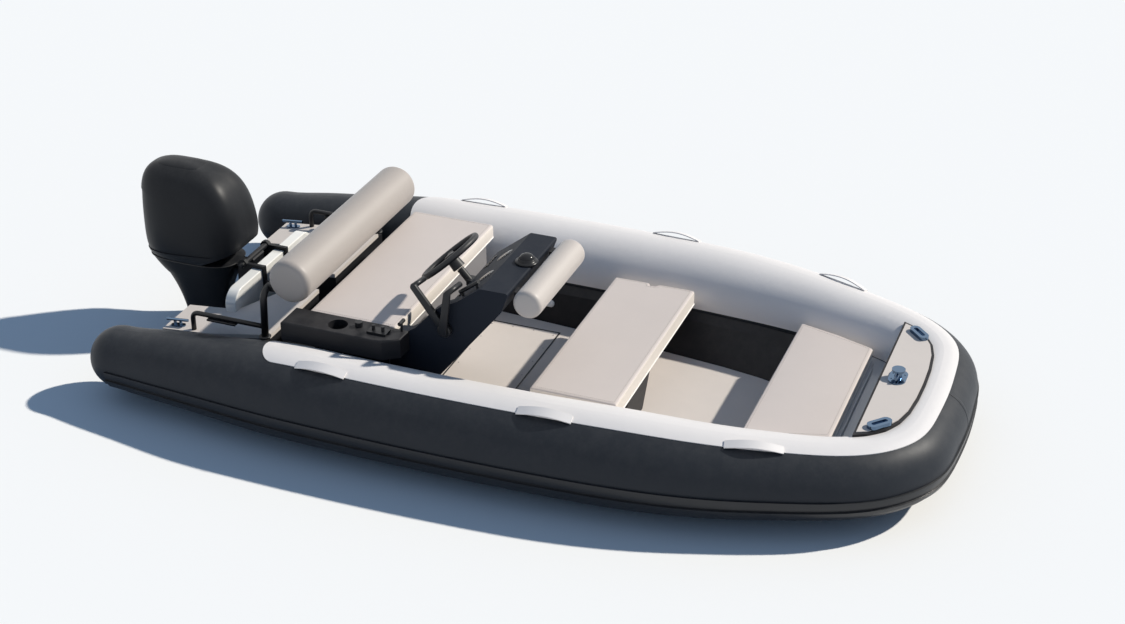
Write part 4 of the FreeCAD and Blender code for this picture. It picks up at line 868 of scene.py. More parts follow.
@dataclass
class Workshop:
    """What every sub-assembly needs: the finishes and the repeating pieces."""

    finishes: Finishes
    repeats: Repeats

    def settle(self, obj: bpy.types.Object, body: str, slot: str) -> None:
        """Make a piece ride on a body and report it.

        Args:
            obj: The finished piece.
            body: The CAD body it moves with.
            slot: Not used.
        """
        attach(obj, body)
        LOG.info("piece %s on %s, %d faces", obj.name, body, len(obj.data.polygons))

    def piece(self, name: str, bm: bmesh.types.BMesh, finish: str, body: str, slot: str) -> None:
        """Turn a finished mesh into a piece of the boat.

        Args:
            name: The piece's name.
            bm: Its mesh, which is freed.
            finish: The name of its finish.
            body: The CAD body it moves with.
            slot: Handed on to settle, which does not use it.
        """
        self.settle(Shapes.object_of(name, bm, self.finishes.get(finish)), body, slot)

    def screws(self, name: str, places: Sequence[tuple[Vector, Vector]], radius: float, finish: str,
               body: str, slot: str) -> None:
        """Set a group of screw heads as one piece.

        Args:
            name: The piece's name.
            places: Where each head sits and which way it faces.
            radius: The head's radius.
            finish: The name of its finish.
            body: The CAD body it moves with.
            slot: Handed on to settle, which does not use it.
        """
        self.settle(self.repeats.screws(name, places, radius, self.finishes.get(finish)), body, slot)


@dataclass
class Pad:
    """One cushion: an even copy of its CAD form, its seams held, its panels swelled by cloth."""

    shop: Workshop
    node: str
    body: str
    cover: str = "vinyl_cream"
    side_cover: str = "vinyl_pale"
    voxel: float = 0.008
    pressure: float = 4.0
    crown: float = 0.006
    bulge: float = 0.002
    seam_reach: float = 0.009
    seam_angle: float = 0.5
    foot_held: float = 0.002
    sink: float = 0.002
    frames: int = 20
    piping: float = 0.0032
    rims: list[list[Vector]] = field(default_factory=list)
    seams: list[list[Vector]] = field(default_factory=list)

    def build(self) -> None:
        """Make the cushion with its piping and stitches."""
        finish = self.shop.finishes
        bm = Shapes.merged_copy(self.node)
        form = BVHTree.FromBMesh(bm)
        held = self._seam_lines(bm)
        obj = Shapes.object_of(self.node + "_pad", bm, finish.get(self.cover))
        self._remesh(obj)
        start = self._settle_on(obj, form, held)
        pins = self._pins(obj, form, held)
        self._swell(obj, pins)
        self._limit(obj, start)
        self._subdivide(obj)
        # The upright faces take the paler side finish and the flatter faces the top finish, so the sides come out
        # lighter than the top.
        obj.data.materials.append(finish.get(self.side_cover))
        for poly in obj.data.polygons:
            poly.material_index = 1 if abs(poly.normal.z) < 0.5 else 0
        skin = Shapes.surface_of(obj)
        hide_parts(self.node)
        self.shop.settle(obj, self.body, "vinyl_cream")
        if self.rims:
            self._pipe(skin)
        if self.seams:
            runs = [self._onto(skin, seam, 0.0003) for seam in self.seams]
            thread = self.shop.repeats.stitches(self.node + "_stitches", runs, finish.get("thread_stone"))
            self.shop.settle(thread, self.body, "vinyl_cream")

    def _seam_lines(self, bm: bmesh.types.BMesh) -> list[Line]:
        """Find the form's sharp edges, where two cover panels are sewn together.

        Args:
            bm: The welded form.

        Returns:
            The ends of each sharp edge.
        """
        return [(e.verts[0].co.copy(), e.verts[1].co.copy()) for e in bm.edges
                if len(e.link_faces) == 2 and e.calc_length() > 0.01
                and e.calc_face_angle(0.0) > self.seam_angle]

    def _remesh(self, obj: bpy.types.Object) -> None:
        """Give the form an even mesh of small faces.

        Args:
            obj: The form.
        """
        mod = obj.modifiers.new("even", "REMESH")
        mod.mode = "VOXEL"
        mod.voxel_size = self.voxel
        mod.use_smooth_shade = True
        self._bake(obj)

    @staticmethod
    def _bake(obj: bpy.types.Object) -> None:
        """Replace an object's mesh by its evaluated one and drop its modifiers.

        Args:
            obj: The object.
        """
        graph = bpy.context.evaluated_depsgraph_get()
        graph.update()
        mesh = bpy.data.meshes.new_from_object(obj.evaluated_get(graph), depsgraph=graph)
        obj.modifiers.clear()
        obj.data = mesh
        for poly in mesh.polygons:
            poly.use_smooth = True

    def _settle_on(self, obj: bpy.types.Object, form: BVHTree, held: Sequence[Line]) -> list[Line]:
        """Lay the even mesh on the form and its sharp edges.

        Args:
            obj: The even mesh.
            form: The CAD form.
            held: The form's sharp edges.

        Returns:
            Each point and its outward normal.
        """
        start = []
        for v in obj.data.vertices:
            near, normal, _, _ = form.find_nearest(v.co)
            v.co = near
            for a, b in held:
                foot = self._foot(near, a, b)
                if (near - foot).length_squared < (self.voxel * 0.5) ** 2:
                    v.co = foot
                    break
            start.append((v.co.copy(), normal.copy()))
        return start

    def _pins(self, obj: bpy.types.Object, form: BVHTree, held: Sequence[Line]) -> list[int]:
        """Choose the points that the seams and the seat's base hold.

        Args:
            obj: The even mesh.
            form: The CAD form.
            held: The form's sharp edges.

        Returns:
            The indices of the held points.
        """
        low = min(v.co.z for v in obj.data.vertices)
        reach = self.seam_reach ** 2
        pins = []
        for v in obj.data.vertices:
            _, normal, _, _ = form.find_nearest(v.co)
            flat = abs(normal.z) > 0.995 or abs(normal.z) < 0.05 or not held
            near_seam = any((v.co - self._foot(v.co, a, b)).length_squared < reach for a, b in held)
            if v.co.z < low + self.foot_held or near_seam or not flat:
                pins.append(v.index)
        return pins

    @staticmethod
    def _foot(p: Vector, a: Vector, b: Vector) -> Vector:
        """Return the point of a segment that is nearest to a point."""
        run = b - a
        return a + run * max(0.0, min(1.0, (p - a).dot(run) / run.length_squared))

    def _swell(self, obj: bpy.types.Object, pins: list[int]) -> None:
        """Run the cloth with inner pressure, its pins held, and keep the last frame.

        Args:
            obj: The even mesh.
            pins: The indices of the held points.
        """
        scene = bpy.context.scene
        group = obj.vertex_groups.new(name="held")
        group.add(pins, 1.0, "REPLACE")
        mod = obj.modifiers.new("swell", "CLOTH")
        cloth = mod.settings
        cloth.use_pressure = True
        cloth.uniform_pressure_force = self.pressure
        cloth.effector_weights.gravity = 0.0
        cloth.quality = 4
        cloth.mass = 0.25
        cloth.tension_stiffness = cloth.compression_stiffness = 18
        cloth.shear_stiffness = 8
        cloth.bending_stiffness = 1.2
        cloth.vertex_group_mass = group.name
        mod.collision_settings.use_collision = False
        mod.point_cache.frame_start = 1
        mod.point_cache.frame_end = self.frames
        for step in range(1, self.frames + 1):
            scene.frame_set(step)
        self._bake(obj)
        scene.frame_set(1)

    def _limit(self, obj: bpy.types.Object, start: Sequence[Line]) -> None:
        """Scale the swelling, so that the top crowns and the sides bulge by no more than their limits.

        Args:
            obj: The swelled mesh.
            start: Each point before the swelling, and its outward normal.
        """
        moves = [(v.co - p).dot(n) for v, (p, n) in zip(obj.data.vertices, start)]
        tops = [m for m, (_, n) in zip(moves, start) if n.z > 0.5]
        sides = [m for m, (_, n) in zip(moves, start) if n.z <= 0.5]
        top_share = min(1.0, self.crown / max(max(tops, default=0.0), 1e-6))
        side_share = min(1.0, self.bulge / max(max(sides, default=0.0), 1e-6))
        for v, move, (p, n) in zip(obj.data.vertices, moves, start):
            v.co = p + n * max(-self.sink, move) * (top_share if n.z > 0.5 else side_share)

    def _subdivide(self, obj: bpy.types.Object) -> None:
        """Smooth the cushion by one subdivision.

        Args:
            obj: The cushion.
        """
        mod = obj.modifiers.new("smooth", "SUBSURF")
        mod.levels = mod.render_levels = 1
        self._bake(obj)

    @staticmethod
    def _onto(skin: BVHTree, path: Sequence[Vector], lift: float) -> list[Vector]:
        """Lay a path onto the cushion's skin.

        Args:
            skin: The cushion's surface.
            path: The points of the path.
            lift: How far off the skin it lies.

        Returns:
            The points on the skin.
        """
        laid = []
        for p in path:
            near, normal, _, _ = skin.find_nearest(p)
            laid.append(near + normal * lift)
        return laid

    def _pipe(self, skin: BVHTree) -> None:
        """Sew a welt cord along each rim.

        Args:
            skin: The cushion's surface.
        """
        bm = bmesh.new()
        for rim in self.rims:
            Shapes.tube(bm, self._onto(skin, rim, 0.0004), self.piping / 2, 8, closed=True)
        self.shop.piece(self.node + "_piping", bm, "piping_cream", self.body, "vinyl_cream")


class Outline:
    """Plan outlines for seams and welts."""

    @staticmethod
    def loop(corners: Sequence[Flat], z: float, inset: float, radius: float, step: float) -> list[Vector]:
        """Return an evenly stepped loop with rounded corners inside a polygon.

        Args:
            corners: The polygon's corners, anticlockwise from above.
            z: The height of the loop.
            inset: How far it lies inside the polygon.
            radius: The corner radius.
            step: The distance between points.

        Returns:
            The points of the loop, without repeating the first.
        """
        count = len(corners)
        moved = []
        for i in range(count):
            p = Vector(corners[i])
            a = (p - Vector(corners[i - 1])).normalized()
            b = (Vector(corners[(i + 1) % count]) - p).normalized()
            inward = Vector((-a.y - b.y, a.x + b.x)).normalized()
            moved.append(p + inward * (inset / max(0.2, inward.dot(Vector((-b.y, b.x))))))
        rounded = []
        for i in range(count):
            p, q, r = moved[i - 1], moved[i], moved[(i + 1) % count]
            start, end = q + (p - q).normalized() * radius, q + (r - q).normalized() * radius
            rounded += [Shapes.arc(start, q, end, k / 4) for k in range(5)]
        points = []
        for i, p in enumerate(rounded):
            q = rounded[(i + 1) % len(rounded)]
            pieces = max(1, int((q - p).length / step))
            points += [p.lerp(q, k / pieces) for k in range(pieces)]
        return [Vector((p.x, p.y, z)) for p in points]


@dataclass
class Upholstery:
    """The five padded pieces of the boat."""

    shop: Workshop
    stitch_inset: float = 0.016
    stitch_corner: float = 0.006
    stitch_step: float = 0.012
    welt: float = 0.006
    welt_lift: float = 0.005
    welt_corner: float = 0.004
    welt_step: float = 0.01
    notch: tuple[tuple[float, float], ...] = ((0.222, 0.0), (0.212, 0.024), (0.180, 0.024), (0.170, 0.0))
    bow_half_width: float = 0.397

    def slab(self, node: str, body: str, corners: Sequence[Flat], voxel: float = 0.008) -> None:
        """Make one slab cushion with a welt round its foot and a stitched seam round its top panel.

        Args:
            node: The CAD node that it stands for.
            body: The body that it rides on.
            corners: The cushion's plan corners.
            voxel: The size of its mesh faces.
        """
        low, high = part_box(node)
        foot = Outline.loop(corners, low[2] + self.welt_lift, 0.0, self.welt_corner, self.welt_step)
        seam = Outline.loop(corners, high[2], self.stitch_inset, self.stitch_corner, self.stitch_step)
        Pad(self.shop, node, body, voxel=voxel, piping=self.welt, rims=[foot],
            seams=[seam + seam[:1]]).build()

    def roll(self, node: str, edge: float, cover: str) -> None:
        """Make one bolster with rounded ends and a seam along its underside.

        Args:
            node: The CAD node that it stands for.
            edge: How far the end's rounding reaches.
            cover: The finish of its cover.
        """
        low, high = map(Vector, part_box(node))
        centre, radius = (low + high) / 2, (high.z - low.z) / 2
        first, run = low.y + edge, high.y - low.y - 2 * edge
        seam = [Vector((centre.x - radius * 0.5, first + run * k / 60, centre.z - radius * 0.86))
                for k in range(61)]
        Pad(self.shop, node, "boat", cover=cover, side_cover=cover, voxel=0.007, pressure=3.0,
            crown=0.0025, bulge=0.0025, seams=[seam]).build()

    def build(self) -> None:
        """Make all five."""
        low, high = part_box("mid_seat_cushion")
        notch = [(low[0] + along, high[1] - deep) for along, deep in self.notch]
        self.slab("mid_seat_cushion", "boat", self._oblong(low, high, notch), voxel=0.007)
        self.slab("bench_cushion", "boat", self._oblong(*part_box("bench_cushion")))
        low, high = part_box("bow_seat_cushion")
        fore = [(high[0], -self.bow_half_width), (high[0], self.bow_half_width)]
        self.slab("bow_seat_cushion", "bow_lid", [(low[0], low[1]), *fore, (low[0], high[1])])
        # The backrest roll wears the cream vinyl darkened as painted shade.
        self.roll("backrest_roll", 0.030, "vinyl_painted_shade")
        self.roll("console_bolster", 0.022, "vinyl_sand")

    @staticmethod
    def _oblong(low: Point, high: Point, notch: Sequence[Flat] = ()) -> list[Flat]:
        """Return the plan corners of an oblong, with any notch in its port side."""
        return [(low[0], low[1]), (high[0], low[1]), (high[0], high[1]), *notch, (low[0], high[1])]


@dataclass
class Helm:
    """Dials, compass and switches of the helm, the fittings of the wheel and the lamp on the wall."""

    shop: Workshop
    face_top: Point = (-0.109, 0.0, 0.760)
    face_foot: Point = (-0.273, 0.0, 0.632)
    dial_radius: float = 0.042
    dial_rise: float = 0.135
    dial_sides: tuple[float, float] = (-0.36, -0.15)
    dial_ticks: int = 11
    rocker_half: Flat = (0.010, 0.013)
    rocker_first: float = -0.075
    rocker_pitch: float = 0.030
    key_side: float = -0.45
    key_rise: float = 0.035
    hub: Point = (-0.378, -0.268, 0.727)
    wheel_rake: float = 42.0
    wheel_seam: float = 0.1365
    lamp_aim: Point = (-0.243, 0.2, 0.105)
    lamp_radius: float = 0.018
    lamp_half: float = 0.020
    lamp_depth: float = 0.004

    def build(self) -> None:
        """Make the helm's small pieces."""
        self._compass()
        self._dash()
        self._wheel_cap()
        self._courtesy_light()

    def _compass(self) -> None:
        """Make the compass: a flanged base and its dark dome."""
        low, high = map(Vector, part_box("compass"))
        foot = Vector(((low.x + high.x) / 2, (low.y + high.y) / 2, low.z))
        base, dome = bmesh.new(), bmesh.new()
        Shapes.lathe(base, foot, UP, [(0.0, 0.050), (0.004, 0.0515), (0.008, 0.050), (0.0105, 0.044),
                                      (0.012, 0.040), (0.020, 0.0375), (0.0215, 0.036)], 56)
        turns = (math.pi / 2 * k / 11 for k in range(11))
        Shapes.lathe(dome, foot, UP, [(0.019 + 0.023 * math.sin(t), 0.0335 * math.cos(t)) for t in turns], 48)
        flange = Shapes.object_of("compass_base", base, self.shop.finishes.get("instrument_black"))
        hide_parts("compass")
        self.shop.settle(flange, "boat", "instrument_black")
        self.shop.piece("compass_dome", dome, "cap_glass", "boat", "instrument_black")

    def _dash(self) -> None:
        """Make two round dials, a key switch and a row of rockers on the raked face before the driver."""
        foot = Vector(self.face_foot)
        run = (Vector(self.face_top) - foot).normalized()
        out = Vector((-run.z, 0, run.x))
        rims, faces, marks = bmesh.new(), bmesh.new(), bmesh.new()
        for side in self.dial_sides:
            centre = foot + run * self.dial_rise + PORT * side
            self._dial(rims, faces, marks, centre, run, out)
        across, deep = self.rocker_half
        for k in range(4):
            centre = foot + run * 0.030 + PORT * (self.rocker_first - self.rocker_pitch * k)
            plan = [centre + PORT * (across * y) + run * (deep * x)
                    for y, x in ((-1, -1), (1, -1), (1, 1), (-1, 1))]
            rises = (0.002, 0.002, 0.004, 0.004)
            Shapes.loft(rims, [plan, [p + out * rise for p, rise in zip(plan, rises)]])
        key = foot + run * self.key_rise + PORT * self.key_side
        Shapes.lathe(rims, key, out, [(0.0, 0.014), (0.004, 0.014), (0.006, 0.011)], 24)
        Shapes.lathe(marks, key + out * 0.006, out, [(0.0, 0.007), (0.003, 0.0065)], 20)
        for name, bm, finish in (("dash_bezels", rims, "instrument_black"), ("dash_dials", faces, "cap_glass"),
                                 ("dash_marks", marks, "lens_white")):
            self.shop.piece(name, bm, finish, "boat", "instrument_black")

    def _dial(self, rims: bmesh.types.BMesh, faces: bmesh.types.BMesh, marks: bmesh.types.BMesh,
              centre: Vector, run: Vector, out: Vector) -> None:
        """Add one dial: its bezel, its glass, the ticks round it and the needle.

        Args:
            rims: The mesh of the bezels.
            faces: The mesh of the glasses.
            marks: The mesh of the ticks and needles.
            centre: The dial's centre on the console's face.
            run: The direction up the face.
            out: The direction out of the face.
        """
        radius = self.dial_radius
        Shapes.lathe(rims, centre, out, [(0.0, radius), (0.0010, radius), (0.0016, radius - 0.003)], 40)
        Shapes.lathe(faces, centre + out * 0.0016, out, [(0.0, radius - 0.006), (0.0003, radius - 0.006)], 40)
        for k in range(self.dial_ticks):
            turn = math.radians(-130 + 26 * k)
            way = run * math.cos(turn) + PORT * math.sin(turn)
            inner = centre + out * 0.0020 + way * (radius - 0.014)
            Shapes.tube(marks, [inner, inner + way * 0.005], 0.0006, 6)
        way = (run * 0.6 - PORT * 0.8).normalized()
        middle = centre + out * 0.0022
        Shapes.tube(marks, [middle, middle + way * (radius - 0.016)], 0.0005, 6)

    def _wheel_cap(self) -> None:
        """Make the cap at the wheel's hub and the grip seam on its rim."""
        hub = Vector(self.hub)
        rake = math.radians(self.wheel_rake)
        shaft = Vector((-math.sin(rake), 0, math.cos(rake)))
        bm = bmesh.new()
        Shapes.lathe(bm, hub + shaft * 0.0012, shaft,
                     [(0.0, 0.026), (0.004, 0.0255), (0.007, 0.021), (0.0085, 0.012)], 32)
        self.shop.piece("wheel_cap", bm, "instrument_black", "steering_wheel", "wheel_black")
        side = Shapes.across(shaft)
        seam = Shapes.ring(hub - shaft * 0.0125, side, shaft.cross(side), self.wheel_seam, 120)
        thread = self.shop.repeats.stitches("wheel_stitches", [seam + seam[:1]],
                                            self.shop.finishes.get("thread_stone"), 0.008)
        self.shop.settle(thread, "steering_wheel", "wheel_black")

    def _courtesy_light(self) -> None:
        """Make the long lamp on the port wall, laid on the wall's own face."""
        wall = Shapes.surface_of(frame["nodes"]["cockpit_liner"])
        centre, normal, _, _ = wall.ray_cast(Vector(self.lamp_aim), PORT)
        if centre is None:
            LOG.warning("no wall found for the courtesy light")
            return
        along = (AHEAD - normal * AHEAD.dot(normal)).normalized()
        up = normal.cross(along)
        rim = []
        for k in range(32):
            turn = 2 * math.pi * k / 32
            half = self.lamp_half if math.cos(turn) > 0 else -self.lamp_half
            rim.append(centre + along * (math.cos(turn) * self.lamp_radius + half)
                       + up * (math.sin(turn) * self.lamp_radius))
        bm = bmesh.new()
        Shapes.loft(bm, [rim, [centre + (p - centre) * 0.93 + normal * self.lamp_depth for p in rim]])
        self.shop.piece("courtesy_light", bm, "lens_white", "boat", "gelcoat_white")


@dataclass
class Levers:
    """The throttle and shift levers: two stout arms from one pivot, each with a stub grip."""

    shop: Workshop
    half_root: float = 0.019
    half_tip: float = 0.015
    thick: float = 0.018
    grip: float = 0.0125
    root_over: float = 0.012
    tip_over: float = 0.010
    edge: float = 0.0028
    pivot_x: float = -0.272
    pivot_in: float = 0.030
    pivot_z: float = 0.536

    def build(self) -> None:
        """Make both arms, the pivot's boss and the grips in place of the plain levers."""
        low, _ = map(Vector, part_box("throttle_levers"))
        pivot = Vector((self.pivot_x, low.y + self.pivot_in, self.pivot_z))
        bm = bmesh.new()
        Shapes.lathe(bm, pivot - PORT * 0.0004, -PORT,
                     [(0.0, 0.031), (0.022, 0.031), (0.026, 0.028), (0.026, 0.014), (0.022, 0.012)], 36)
        for tip_x, tip_z, gap, reach in ((-0.413, 0.724, 0.003, Vector((0.015, 0.084, 0.0))),
                                         (-0.247, 0.728, 0.022, Vector((0.021, 0.096, 0.006)))):
            shift = -PORT * (gap + self.thick)
            tip = Vector((tip_x, pivot.y, tip_z)) + shift
            self._arm(bm, pivot + shift, tip)
            start = tip + PORT * 0.004
            Shapes.tube(bm, [start, start + reach], self.grip, 24)
            Shapes.lathe(bm, start + reach, reach.normalized(),
                         [(0.0, self.grip), (0.003, self.grip * 0.86), (0.005, self.grip * 0.5)], 24)
        levers = Shapes.object_of("lever_arms", bm, self.shop.finishes.get("metal_black"))
        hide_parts("throttle_levers")
        self.shop.settle(levers, "boat", "metal_black")

    def _arm(self, bm: bmesh.types.BMesh, root: Vector, tip: Vector) -> None:
        """Add one flat arm with rounded edges.

        Args:
            bm: The mesh to add to.
            root: The arm's middle line at the pivot, on its outboard face.
            tip: The same at the grip.
        """
        run = (tip - root).normalized()
        side = Vector((-run.z, 0, run.x))
        root, over = root - run * self.root_over, run * self.tip_over
        wide, slim = side * self.half_tip, side * self.half_tip * 0.5
        outline = [root + side * self.half_root, tip + wide, tip + slim + over, tip - slim + over, tip - wide,
                   root - side * self.half_root]
        faces = Shapes.loft(bm, [outline, [p + PORT * self.thick for p in outline]])
        bmesh.ops.recalc_face_normals(bm, faces=faces)
        edges = list({edge for face in faces for edge in face.edges})
        bmesh.ops.bevel(bm, geom=edges, offset=self.edge, segments=2, profile=0.5, affect="EDGES")


@dataclass
class DeckFittings:
    """Screws and gasket of the floor's panel, the bow cleat's screws, the drains and the bow seam."""

    shop: Workshop
    screw_inset: float = 0.018
    screw_end: float = 0.03
    screw_radius: float = 0.0032
    screw_lift: float = 0.0008
    gasket_reach: float = 0.0025
    gasket_half: float = 0.0035
    gasket_over: float = 0.006
    cleat_screw: float = 0.0042
    drain_side: float = 0.30
    drain_height: float = 0.07
    tape_steps: int = 144
    tape_section: tuple[Flat, ...] = ((-0.012, 0.0002), (-0.006, 0.0003), (0.006, 0.0003), (0.012, 0.0002))

    def build(self) -> None:
        """Make the deck's small pieces."""
        self._floor_screws()
        self._hatch_gasket()
        self._cleat_screws()
        self._drains()
        self._bow_seam()

    def _floor_screws(self) -> None:
        """Set screws round the access panel in the floor."""
        low, high = map(Vector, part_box("floor_access_panel"))
        z, inset = high.z + self.screw_lift, self.screw_inset
        places = []
        for k in range(7):
            y = low.y + self.screw_end + (high.y - low.y - 2 * self.screw_end) * k / 6
            places += [(Vector((x, y, z)), UP) for x in (low.x + inset, high.x - inset)]
        for k in range(1, 3):
            x = low.x + inset + (high.x - low.x - 2 * inset) * k / 3
            places += [(Vector((x, y, z)), UP) for y in (low.y + inset, high.y - inset)]
        self.shop.screws("floor_screws", places, self.screw_radius, "grey_and_painted_shade", "boat", "gelcoat_grey")

    def _hatch_gasket(self) -> None:
        """Lay the dark gasket round the access panel in the floor."""
        low, high = map(Vector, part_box("floor_access_panel"))
        half, over, foot = self.gasket_half, self.gasket_over, high.z - 0.003
        bm = bmesh.new()
        for x in (low.x - self.gasket_reach, high.x + self.gasket_reach):
            Shapes.rounded_box(bm, (x - half, low.y - over, foot), (x + half, high.y + over, high.z + 0.0016),
                               0.0008, 1)
        for y in (low.y - self.gasket_reach, high.y + self.gasket_reach):
            Shapes.rounded_box(bm, (low.x - over, y - half, foot), (high.x + over, y + half, high.z + 0.0014),
                               0.0008, 1)
        self.shop.piece("hatch_gasket", bm, "seal_rubber", "boat", "deck_foam")

    def _cleat_screws(self) -> None:
        """Set four screws in the bow cleat's foot."""
        low, high = map(Vector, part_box("bow_cleat"))
        places = [(Vector(((low.x + high.x) / 2 + dx, dy, low.z + 0.0066)), UP)
                  for dx in (-0.026, 0.026) for dy in (-0.024, 0.024)]
        self.shop.screws("bow_cleat_screws", places, self.cleat_screw, "stainless", "boat", "stainless")

    def _drains(self) -> None:
        """Make two drain sockets low on the transom's aft face."""
        bm = bmesh.new()
        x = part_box("transom_board")[0][0]
        for y in (-self.drain_side, self.drain_side):
            Shapes.lathe(bm, Vector((x, y, self.drain_height)), -AHEAD,
                         [(0.0, 0.024), (0.004, 0.023), (0.005, 0.017), (0.002, 0.015)], 28)
        self.shop.piece("drain_sockets", bm, "metal_black", "boat", "metal_black")

    def _bow_seam(self) -> None:
        """Lay the seam tape over the joint of both air chambers at the bow."""
        tube = Shapes.surface_of(frame["nodes"]["air_tube"])
        centre, radius = Vector((1.742, 0, 0.210)), 0.161
        rows = []
        for k in range(self.tape_steps + 1):
            turn = math.radians(22 + 206 * k / self.tape_steps)
            spot = centre + Vector((math.sin(turn), 0, math.cos(turn))) * radius
            row = []
            for y, lift in self.tape_section:
                near, normal, _, _ = tube.find_nearest(spot + PORT * y)
                row.append(Vector((near.x, y, near.z)) + normal * lift)
            rows.append(row)
        bm = bmesh.new()
        Shapes.loft(bm, rows)
        self.shop.piece("bow_seam_tape", bm, "tube_charcoal", "boat", "tube_charcoal")


@dataclass
class BackrestRails:
    """The two bent rails: a stout post up to the back of the roll, and a low hoop running aft."""

    shop: Workshop
    post_radius: float = 0.0165
    post_corner: float = 0.045
    post_x: float = -1.164
    hoop_radius: float = 0.0115
    hoop_corner: float = 0.034
    hoop_top: float = 0.371
    side_in: float = 0.022
    saddle_in: float = 0.055
    saddle_half: float = 0.022
    tread: Flat = (-1.451, -1.304)
    tread_half: float = 0.022

    def build(self) -> None:
        """Make both rails with their foot flanges, treads and saddles on the roll."""
        bm = bmesh.new()
        for side in (1, -1):
            self._post(bm, side)
            self._hoop(bm, side)
        rails = Shapes.object_of("bent_rails", bm, self.shop.finishes.get("metal_black"))
        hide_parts("backrest_rails")
        self.shop.settle(rails, "boat", "metal_black")

    def _post(self, bm: bmesh.types.BMesh, side: int) -> None:
        """Add one post with its foot flange and the saddle that holds the roll.

        Args:
            bm: The mesh to add to.
            side: 1 to port, -1 to starboard.
        """
        low, high = map(Vector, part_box("backrest_roll"))
        axis_x, axis_z = (low.x + high.x) / 2, (low.z + high.z) / 2
        back = axis_x - (high.z - low.z) / 2
        y = side * (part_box("backrest_rails")[1][1] - self.side_in)
        inner = side * (high.y - self.saddle_in)
        foot = Vector((self.post_x, y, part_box("aft_deck_pads")[1][2] + 0.001))
        lean = Vector((self.post_x, y - side * 0.014, axis_z - 0.064))
        end = Vector((self.post_x + 0.004, inner, axis_z - 0.060))
        Shapes.tube(bm, Shapes.bend([foot, lean, end], self.post_corner), self.post_radius, 20)
        Shapes.lathe(bm, foot, UP, [(0.0, 0.027), (0.003, 0.027), (0.005, 0.022)], 28)
        Shapes.rounded_box(bm, (self.post_x + 0.002, inner - self.saddle_half, axis_z - 0.078),
                           (back + 0.030, inner + self.saddle_half, axis_z - 0.040), 0.004)

    def _hoop(self, bm: bmesh.types.BMesh, side: int) -> None:
        """Add one low hoop with its foot flange and the tread on it.

        Args:
            bm: The mesh to add to.
            side: 1 to port, -1 to starboard.
        """
        low, high = map(Vector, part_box("backrest_rails"))
        pad_low, pad_high = map(Vector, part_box("aft_deck_pads"))
        x, y, top = low.x + 0.012, side * (high.y - self.side_in), self.hoop_top
        rise = (pad_high.z - pad_low.z) * (x - pad_low.x) / (pad_high.x - pad_low.x)
        heel = Vector((x, y, pad_low.z + rise + 0.001))
        path = Shapes.bend([heel, Vector((x, y, top)), Vector((self.post_x, y, top))], self.hoop_corner)
        Shapes.tube(bm, path, self.hoop_radius, 18)
        Shapes.lathe(bm, heel, UP, [(0.0, 0.022), (0.003, 0.022), (0.005, 0.018)], 28)
        Shapes.rounded_box(bm, (self.tread[0], y - self.tread_half, top - 0.0185),
                           (self.tread[1], y + self.tread_half, top - 0.0095), 0.002)


@dataclass
class BenchTrim:
    """The pale lip under the bench cushion's front edge."""

    shop: Workshop
    height: float = 0.018
    end_in: float = 0.03

    def build(self) -> None:
        """Make the lip from side to side."""
        low, high = map(Vector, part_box("bench_cushion"))
        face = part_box("bench_front_panel")[1][0]
        bm = bmesh.new()
        Shapes.rounded_box(bm, (face - 0.004, low.y + self.end_in, low.z - self.height),
                           (face + 0.012, high.y - self.end_in, low.z - 0.0006), 0.003)
        self.shop.piece("bench_lip", bm, "gelcoat_white", "boat", "gelcoat_white")


